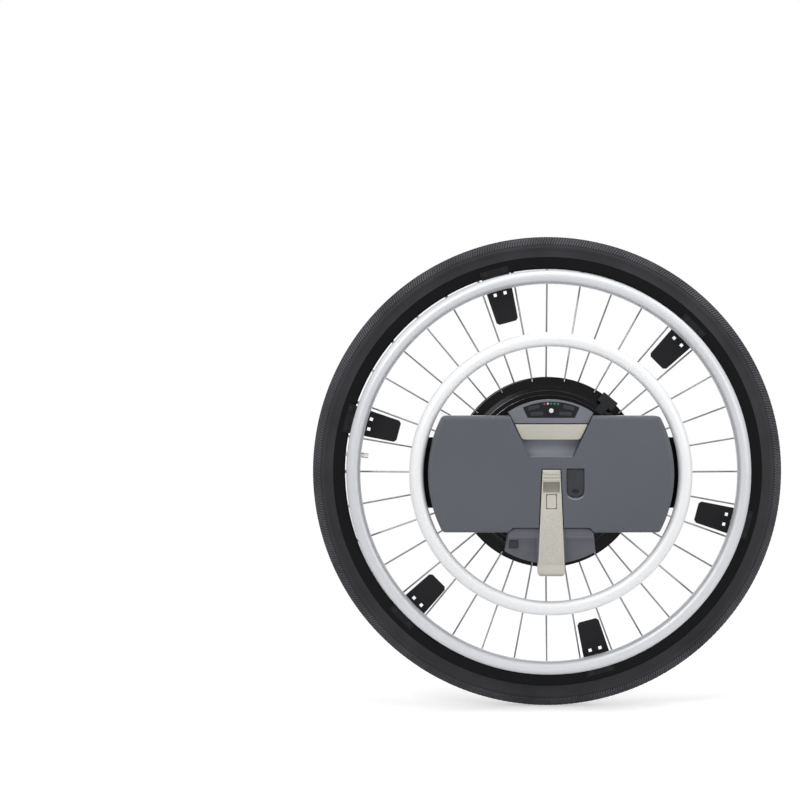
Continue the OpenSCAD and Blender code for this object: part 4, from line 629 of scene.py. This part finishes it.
def makeLitSheet():
    floorY, lipY = (-(litSheetShape[key] + wheelPlane) * mm for key in ("floor", "lip"))
    low, top, curve = (litSheetShape[key] * mm for key in ("low", "top", "curve"))
    middle = (0, floorY, (low + curve + top) / 2)
    sheet = 2 * mm  # 1 mm to each side, so that a scale across is the half width in mm
    bpy.ops.mesh.primitive_plane_add(size=sheet, location=middle, rotation=(math.pi / 2, 0, 0))
    litSheet = startPiece("hollowLitSheet")
    bpy.ops.mesh.select_all(action="SELECT")
    bpy.ops.transform.resize(value=(1, 1, (top - low - curve) / sheet), center_override=middle)
    foot = low + curve + handTools["near"] * mm
    pick(litSheet, "EDGE", lambda centre, along: runsAcross(centre, along) and centre.z < foot)
    bpy.ops.mesh.spin(steps=litSheetShape["curveCuts"], angle=math.pi / 2,
                      center=(0, floorY - curve, low + curve), axis=(1, 0, 0))
    bpy.ops.mesh.extrude_region_move(TRANSFORM_OT_translate={"value": (0, lipY - floorY + curve, 0)})
    bpy.ops.object.mode_set(mode="OBJECT")
    levels = {round(vertex.co.z, litSheetShape["levelDigits"]) for vertex in litSheet.data.vertices}
    for level in sorted(levels):
        rise = level / mm - litSheetShape["low"]
        half = litSheetShape["footHalf"] + rise * litSheetShape["slope"] - litSheetShape["gap"]
        pick(litSheet, "VERT", lambda point: abs(point.z - level) < litSheetShape["levelGap"] * mm)
        bpy.ops.transform.resize(value=(half, 1, 1), center_override=(0, 0, 0))
    closeSpin()
    shape(litSheet, "SOLIDIFY", thickness=litSheetShape["sheet"] * mm, offset=0)
    settle(litSheet, "slate_plastic", "battery", material=finish("paintedLightSheet", litSheetLook))


# edges of the hub face as thin beads in lighter metal, painted highlight along those edges: radius of each
# bead and how far it lies before the wheel's plane
hubEdges = {"beads": ((118.6, 24.9), (102.0, 32.0), (96.2, 31.9)), "bead": 0.45, "beadPoints": 8,
            "turns": 180}
hubHighlightLook = {"dark": paint(66, 67, 72), "light": paint(98, 99, 105), "rough": (0.16, 0.26), "grain": 1800,
               "turned": 0.4, "metal": 1, "bump": 0.05, "depth": 0.02}


def makeHubEdges():
    highlightFinish = finish("turnedEdge", hubHighlightLook)
    for count, (radius, front) in enumerate(hubEdges["beads"]):
        bpy.ops.mesh.primitive_circle_add(vertices=hubEdges["beadPoints"], radius=hubEdges["bead"] * mm,
                                          location=(radius * mm, -(front + wheelPlane) * mm, 0))
        bead = startPiece("hubEdge" + str(count))
        bpy.ops.mesh.select_all(action="SELECT")
        bpy.ops.mesh.spin(steps=hubEdges["turns"], angle=2 * math.pi, center=(0, 0, 0), axis=(0, 1, 0))
        closeSpin()
        settle(bead, "black_alloy", "wheel", material=highlightFinish)


# charge flap: a rubber tongue with a raised border and a rolled hinge
flapShape = {"gap": 0.35, "foot": 9.9, "footCuts": 16, "footReach": 1, "border": 1.5, "sink": 0.4,
             "hinge": 0.85, "hingeCuts": 4, "edge": 0.3, "edgeCuts": 2, "sharp": 50}


def makeFlap():
    low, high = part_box("charge_flap")
    gap = Vector((flapShape["gap"] * mm, 0, 0))
    foot = low.z + flapShape["footReach"] * mm
    head = high.z - handTools["near"] * mm
    flap = startBlock("chargeFlap", low + gap, high - gap)
    pick(flap, "EDGE", lambda centre, along: runsDeep(centre, along) and centre.z < foot)
    bpy.ops.mesh.bevel(offset=flapShape["foot"] * mm, segments=flapShape["footCuts"])
    pick(flap, "FACE", facesFront)
    bpy.ops.mesh.inset(thickness=flapShape["border"] * mm)
    bpy.ops.transform.translate(value=(0, flapShape["sink"] * mm, 0))
    pick(flap, "EDGE", lambda centre, along: runsAcross(centre, along) and centre.z > head)
    bpy.ops.mesh.bevel(offset=flapShape["hinge"] * mm, segments=flapShape["hingeCuts"])
    soften(flap, flapShape)
    settle(flap, "soft_rubber", "flap", "charge_flap")


# nail pull at the flap's foot: a dished oval in darker rubber, painted shade of the nail notch; rim is a
# share of its half height
pullShape = {"half": (4.4, 2.6), "up": 7.2, "rise": 0.4, "rim": 0.2, "dish": 0.25, "points": 40, "edge": 0.12,
             "edgeCuts": 2}
pullShadeLook = {"dark": paint(24, 24, 27), "light": paint(36, 36, 40), "rough": (0.5, 0.7), "grain": 1400,
            "bump": 0.25, "shine": 0.25}


def makeFlapPull():
    low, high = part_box("charge_flap")
    wide, tall = pullShape["half"]
    centre = ((low.x + high.x) / 2, low.y + flapShape["sink"] * mm, low.z + pullShape["up"] * mm)
    bpy.ops.mesh.primitive_cylinder_add(vertices=pullShape["points"], radius=1, depth=1, location=centre,
                                        rotation=(math.pi / 2, 0, 0),
                                        scale=(wide * mm, tall * mm, 2 * pullShape["rise"] * mm))
    pull = startPiece("flapPull")
    pick(pull, "FACE", facesFront)
    bpy.ops.mesh.inset(thickness=pullShape["rim"] * tall * mm)
    bpy.ops.transform.translate(value=(0, pullShape["dish"] * mm, 0))
    bpy.ops.mesh.inset(thickness=pullShape["rim"] * tall * mm)
    soften(pull, pullShape)
    settle(pull, "soft_rubber", "flap", material=finish("paintedShadePull", pullShadeLook))


# rounded lip of the case below the flap's foot, whose two ends run down into the case; its lighter grey than
# the case is painted highlight along the lip
scoopShape = {"gap": 2.7, "bead": 0.9, "flat": 0.6, "points": 12, "turns": 24, "span": 104, "lean": 7}
scoopHighlightLook = {"dark": paint(134, 137, 143), "light": paint(146, 149, 155), "rough": (0.4, 0.52), "grain": 2600,
             "bump": 0.2, "depth": 0.06, "shine": 0.4, "cloud": 5}


def makeFlapScoop():
    low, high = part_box("charge_flap")
    half = (high.x - low.x) / 2
    middle = (low.x + high.x) / 2
    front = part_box("battery_front_case")[0].y
    foot = low.z + half
    span = math.radians(scoopShape["span"])
    reach = half + scoopShape["gap"] * mm
    first = math.pi + (math.pi - span) / 2
    start = (middle + reach, front, foot)
    bpy.ops.mesh.primitive_circle_add(vertices=scoopShape["points"], radius=scoopShape["bead"] * mm,
                                      location=start)
    scoop = startPiece("flapScoop")
    bpy.ops.mesh.select_all(action="SELECT")
    bpy.ops.transform.resize(value=(1, scoopShape["flat"], 1), center_override=start)
    bpy.ops.transform.rotate(value=first, orient_axis="Y", center_override=(middle, front, foot))
    bpy.ops.mesh.spin(steps=scoopShape["turns"], angle=span, center=(middle, front, foot), axis=(0, 1, 0))
    bpy.ops.mesh.select_mode(type="EDGE")
    bpy.ops.mesh.select_all(action="DESELECT")
    bpy.ops.mesh.select_non_manifold()
    bpy.ops.mesh.fill()
    closeSpin()
    bpy.ops.mesh.select_all(action="SELECT")
    bpy.ops.transform.rotate(value=math.radians(scoopShape["lean"]), orient_axis="X",
                             center_override=(middle, front, foot - reach))
    settle(scoop, "slate_plastic", "battery", material=finish("paintedHighlightLip", scoopHighlightLook))


# rubber bushes: each lines its slot and leaves the stud or pin a track as long as its travel
bushShape = {"pushTurn": 1.52, "ringTurn": 8.05, "between": 20, "rim": 1, "middleGap": 0.05, "levelGap": 0.02,
             "reachShare": 0.65, "lip": 0.5, "groove": 0.45, "edge": 0.1, "edgeCuts": 2, "sharp": 50}


def bushPlaces(points):  # angles round the axle at which the bushes lie
    turns = sorted(math.atan2(point.z, point.x) for point in points)
    places, first = [], turns[0]
    for turn, following in zip(turns, turns[1:] + [turns[0] + 2 * math.pi]):
        if following - turn > math.radians(bushShape["between"]):
            places.append((first + turn) / 2)
            first = following
    return places


def makeBushes(node, name, body, travel):
    low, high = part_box(node)
    lean = math.radians(travel)
    bushes = copyNode(node, name)
    pick(bushes, "FACE", lambda centre, normal: abs(normal.y) > handTools["square"])
    bpy.ops.mesh.delete(type="FACE")
    bpy.ops.object.mode_set(mode="OBJECT")
    points = [vertex.co.copy() for vertex in bushes.data.vertices]
    reaches = [math.hypot(point.x, point.z) for point in points]
    middleR = (max(reaches) + min(reaches)) / 2
    holeR = (max(reaches) - min(reaches)) / 2 - bushShape["rim"] * mm
    for place in bushPlaces(points):
        out = Vector((math.cos(place), 0, math.sin(place)))
        along = Vector((-math.sin(place), 0, math.cos(place)))
        for side in (-1, 1):  # the round hole grows into a track
            pick(bushes, "VERT", lambda point: side * point.dot(along) > bushShape["middleGap"] * mm
                 and math.hypot(point.dot(out) - middleR, point.dot(along)) < holeR)
            shift = (math.cos(lean) - 1) * out + side * math.sin(lean) * along
            bpy.ops.transform.translate(value=middleR * shift)
        for level in (low.y, high.y):  # new end faces, on this bush alone
            pick(bushes, "EDGE", lambda centre, line: abs(centre.y - level) < bushShape["levelGap"] * mm
                 and centre.dot(out) > bushShape["reachShare"] * middleR)
            bpy.ops.mesh.bridge_edge_loops()
    bpy.ops.mesh.select_all(action="SELECT")
    bpy.ops.mesh.normals_make_consistent(inside=False)
    for side in (-1, 1):
        pick(bushes, "FACE", lambda centre, normal: normal.y * side > handTools["square"])
        bpy.ops.mesh.inset(thickness=bushShape["lip"] * mm)
        bpy.ops.transform.translate(value=(0, -side * bushShape["groove"] * mm, 0))
    soften(bushes, bushShape)
    settle(bushes, "soft_rubber", body, node)


# keypad: soft keys beside the power key
keyShape = {"upper": {"size": (14.5, 1.0, 4.6), "across": 21.5, "up": 81.8, "lean": 13},
            "lower": {"size": (16, 1.0, 4.4), "across": 17.5, "up": 74.2, "lean": 3},
            "corner": 1.9, "cornerCuts": 6, "edge": 0.35}
keyLook = {"dark": paint(40, 42, 48), "light": paint(53, 55, 62), "rough": (0.4, 0.55), "grain": 1800,
           "bump": 0.15, "depth": 0.05, "shine": 0.3}


def makeKeys():
    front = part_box("panel_keypad")[0].y
    keyFinish = finish("keyCaps", keyLook)
    for row in ("upper", "lower"):
        key = keyShape[row]
        for side, hand in ((-1, "Left"), (1, "Right")):
            centre = (side * key["across"] * mm, front, key["up"] * mm)
            lean = side * math.radians(key["lean"])
            bpy.ops.mesh.primitive_cube_add(size=1, location=centre, rotation=(0, lean, 0),
                                            scale=[size * mm for size in key["size"]])
            cap = startPiece(row + hand + "Key")
            pick(cap, "EDGE", runsDeep)
            bpy.ops.mesh.bevel(offset=keyShape["corner"] * mm, segments=keyShape["cornerCuts"])
            soften(cap, keyShape)
            settle(cap, "keypad", "core", material=keyFinish)


# white ring and dot on the power key
markShape = {"points": 48, "radius": 2.8, "rise": 0.15, "band": 0.9, "groove": 0.6, "step": 0.1, "sink": 0.12}
whiteLook = {"dark": paint(222, 222, 220), "light": paint(238, 238, 236), "rough": (0.3, 0.45), "grain": 1500,
             "bump": 0.05}


def makePowerMark():
    low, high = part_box("power_button")
    bpy.ops.mesh.primitive_cylinder_add(vertices=markShape["points"], radius=markShape["radius"] * mm,
                                        depth=2 * markShape["rise"] * mm, rotation=(math.pi / 2, 0, 0),
                                        location=((low.x + high.x) / 2, low.y, (low.z + high.z) / 2))
    mark = startPiece("powerMark")
    pick(mark, "FACE", facesFront)
    for width, side in (("band", 1), ("groove", -1)):  # down into the groove, then up to the dot
        bpy.ops.mesh.inset(thickness=markShape[width] * mm)
        bpy.ops.mesh.inset(thickness=markShape["step"] * mm)
        bpy.ops.transform.translate(value=(0, side * markShape["sink"] * mm, 0))
    settle(mark, "light", "power_key", material=finish("whiteMark", whiteLook))


makeTyre()
makeTread()
makeLatch()
makeLeverButton()
makeLever()
makeLeverPlate()
makeGripPlate()
makeLitSheet()
makeHubEdges()
makeFlap()
makeFlapPull()
makeFlapScoop()
makeBushes("push_rim_bushes", "pushRimBushes", "wheel", bushShape["pushTurn"])
makeBushes("ring_bushes", "ringBushes", "control_ring_body", bushShape["ringTurn"])
makeKeys()
makePowerMark()

# small rounds on the edges of the CAD pieces that show
edgeRounds = {"sensor_pod": 0.8, "service_plug": 0.6, "rim_brackets": 0.5, "ring_carrier": 0.7,
              "panel_housing": 0.6, "lower_cover": 0.6}
edgeLimit = 32


def roundEdges(node, width):
    weld = node.modifiers.new("weld", "WELD")
    weld.merge_threshold = handTools["cadWeld"] * mm
    flat = node.modifiers.new("flat", "DECIMATE")
    flat.decimate_type = "DISSOLVE"
    flat.angle_limit = math.radians(handTools["cadFlat"])
    bevel = node.modifiers.new("round", "BEVEL")
    bevel.width = width * mm
    bevel.segments = handTools["edgeCuts"]
    bevel.limit_method = "ANGLE"
    bevel.angle_limit = math.radians(edgeLimit)
    bevel.harden_normals = True


for name, width in edgeRounds.items():
    roundEdges(nodes[name], width)
print("edges rounded on", len(edgeRounds), "nodes")

# camera at the photograph's place, in metres
cameraView = {"place": (-0.1916, -3.346, 0.1376), "tip": 0.83, "turn": -0.109, "lens": 117.9, "sensor": 36}
tip, turn = math.radians(90 - cameraView["tip"]), math.radians(cameraView["turn"])
bpy.ops.object.camera_add(location=cameraView["place"], rotation=(tip, 0, turn))
camera = bpy.context.object
camera.name = "photoCamera"
camera.data.lens = cameraView["lens"]
camera.data.sensor_width = cameraView["sensor"]
bpy.context.scene.camera = camera


def joinSeen(material):  # 1 for rays that show a surface to the camera, straight, by gloss or through glass
    path = addNode(material, "ShaderNodeLightPath")
    seen = path.outputs["Is Camera Ray"]
    for ray in ("Is Glossy Ray", "Is Transmission Ray"):
        seen = reckon(material, "MAXIMUM", seen, path.outputs[ray])
    return seen


# pale floor, in metres, that keeps the shadow and fades into the white background
floorLook = {"radius": 9, "points": 96, "near": 0.4, "far": 1.4, "lift": 0.38, "rough": 0.9, "shine": 0.1,
             "colour": paint(243, 243, 244)}


def makeFloor():
    bpy.ops.mesh.primitive_circle_add(vertices=floorLook["points"], radius=floorLook["radius"],
                                      fill_type="NGON", location=(0, 0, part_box("tyre")[0].z))
    floor = bpy.context.object
    floor.name = "paleFloor"
    material = bpy.data.materials.new("paleFloor")
    material.use_nodes = True
    shader = material.node_tree.nodes["Principled BSDF"]
    shader.inputs["Base Color"].default_value = floorLook["colour"]
    shader.inputs["Roughness"].default_value = floorLook["rough"]
    shader.inputs["Specular IOR Level"].default_value = floorLook["shine"]
    seen = joinSeen(material)
    place = addNode(material, "ShaderNodeTexCoord").outputs["Object"]
    reach = addNode(material, "ShaderNodeVectorMath", operation="LENGTH")
    join(material, place, reach.inputs[0])
    fade = spread(material, reach.outputs["Value"], (floorLook["near"], floorLook["far"]),
                  interpolation_type="SMOOTHSTEP")
    hidden = reckon(material, "MULTIPLY", fade, seen)
    lit = addNode(material, "ShaderNodeMixShader")
    join(material, hidden, lit.inputs[0])
    join(material, shader.outputs[0], lit.inputs[1])
    lift = spread(material, fade, toSpan=(floorLook["lift"], 1))
    white = addNode(material, "ShaderNodeEmission", {"Color": (1, 1, 1, 1)})
    join(material, reckon(material, "MULTIPLY", lift, seen), white.inputs["Strength"])
    both = addNode(material, "ShaderNodeAddShader")
    join(material, lit.outputs[0], both.inputs[0])
    join(material, white.outputs[0], both.inputs[1])
    join(material, both.outputs[0], material.node_tree.nodes["Material Output"].inputs["Surface"])
    floor.data.materials.append(material)


# white world, dimmer as a light than as a background
worldLook = {"light": 0.34, "background": 1.0}


def makeWorld():
    world = bpy.data.worlds.new("studio")
    bpy.context.scene.world = world
    world.use_nodes = True
    back = world.node_tree.nodes["Background"]
    back.inputs["Color"].default_value = (1, 1, 1, 1)
    level = spread(world, joinSeen(world), toSpan=(worldLook["light"], worldLook["background"]))
    join(world, level, back.inputs["Strength"])


# soft round lamps aimed at the axle: place and size across in metres, and watts
lamps = {
    "keyLamp": {"place": (-1.6, -2.6, 1.9), "size": 1.6, "watts": 34},
    "fillLamp": {"place": (2.2, -2.2, 0.8), "size": 1.6, "watts": 14},
    "topLamp": {"place": (0.2, -0.7, 2.4), "size": 1.8, "watts": 19},
    "rightEdgeLamp": {"place": (1.7, 0.05, 1.8), "size": 0.5, "watts": 6},
    "leftEdgeLamp": {"place": (-1.8, 0.05, 1.6), "size": 0.5, "watts": 3},
    "backLamp": {"place": (0.4, 2.4, 1.4), "size": 1.6, "watts": 12},
}


def makeLamps():
    for name, lamp in lamps.items():
        bpy.ops.object.light_add(type="AREA", location=lamp["place"])
        light = bpy.context.object
        light.name = name
        light.data.shape = "DISK"
        light.data.size = lamp["size"]
        light.data.energy = lamp["watts"]
        light.rotation_euler = (-Vector(lamp["place"])).to_track_quat("-Z", "Y").to_euler()


makeFloor()
makeWorld()
makeLamps()
bpy.context.scene.view_settings.view_transform = "Standard"
print("camera, floor and lamps set")
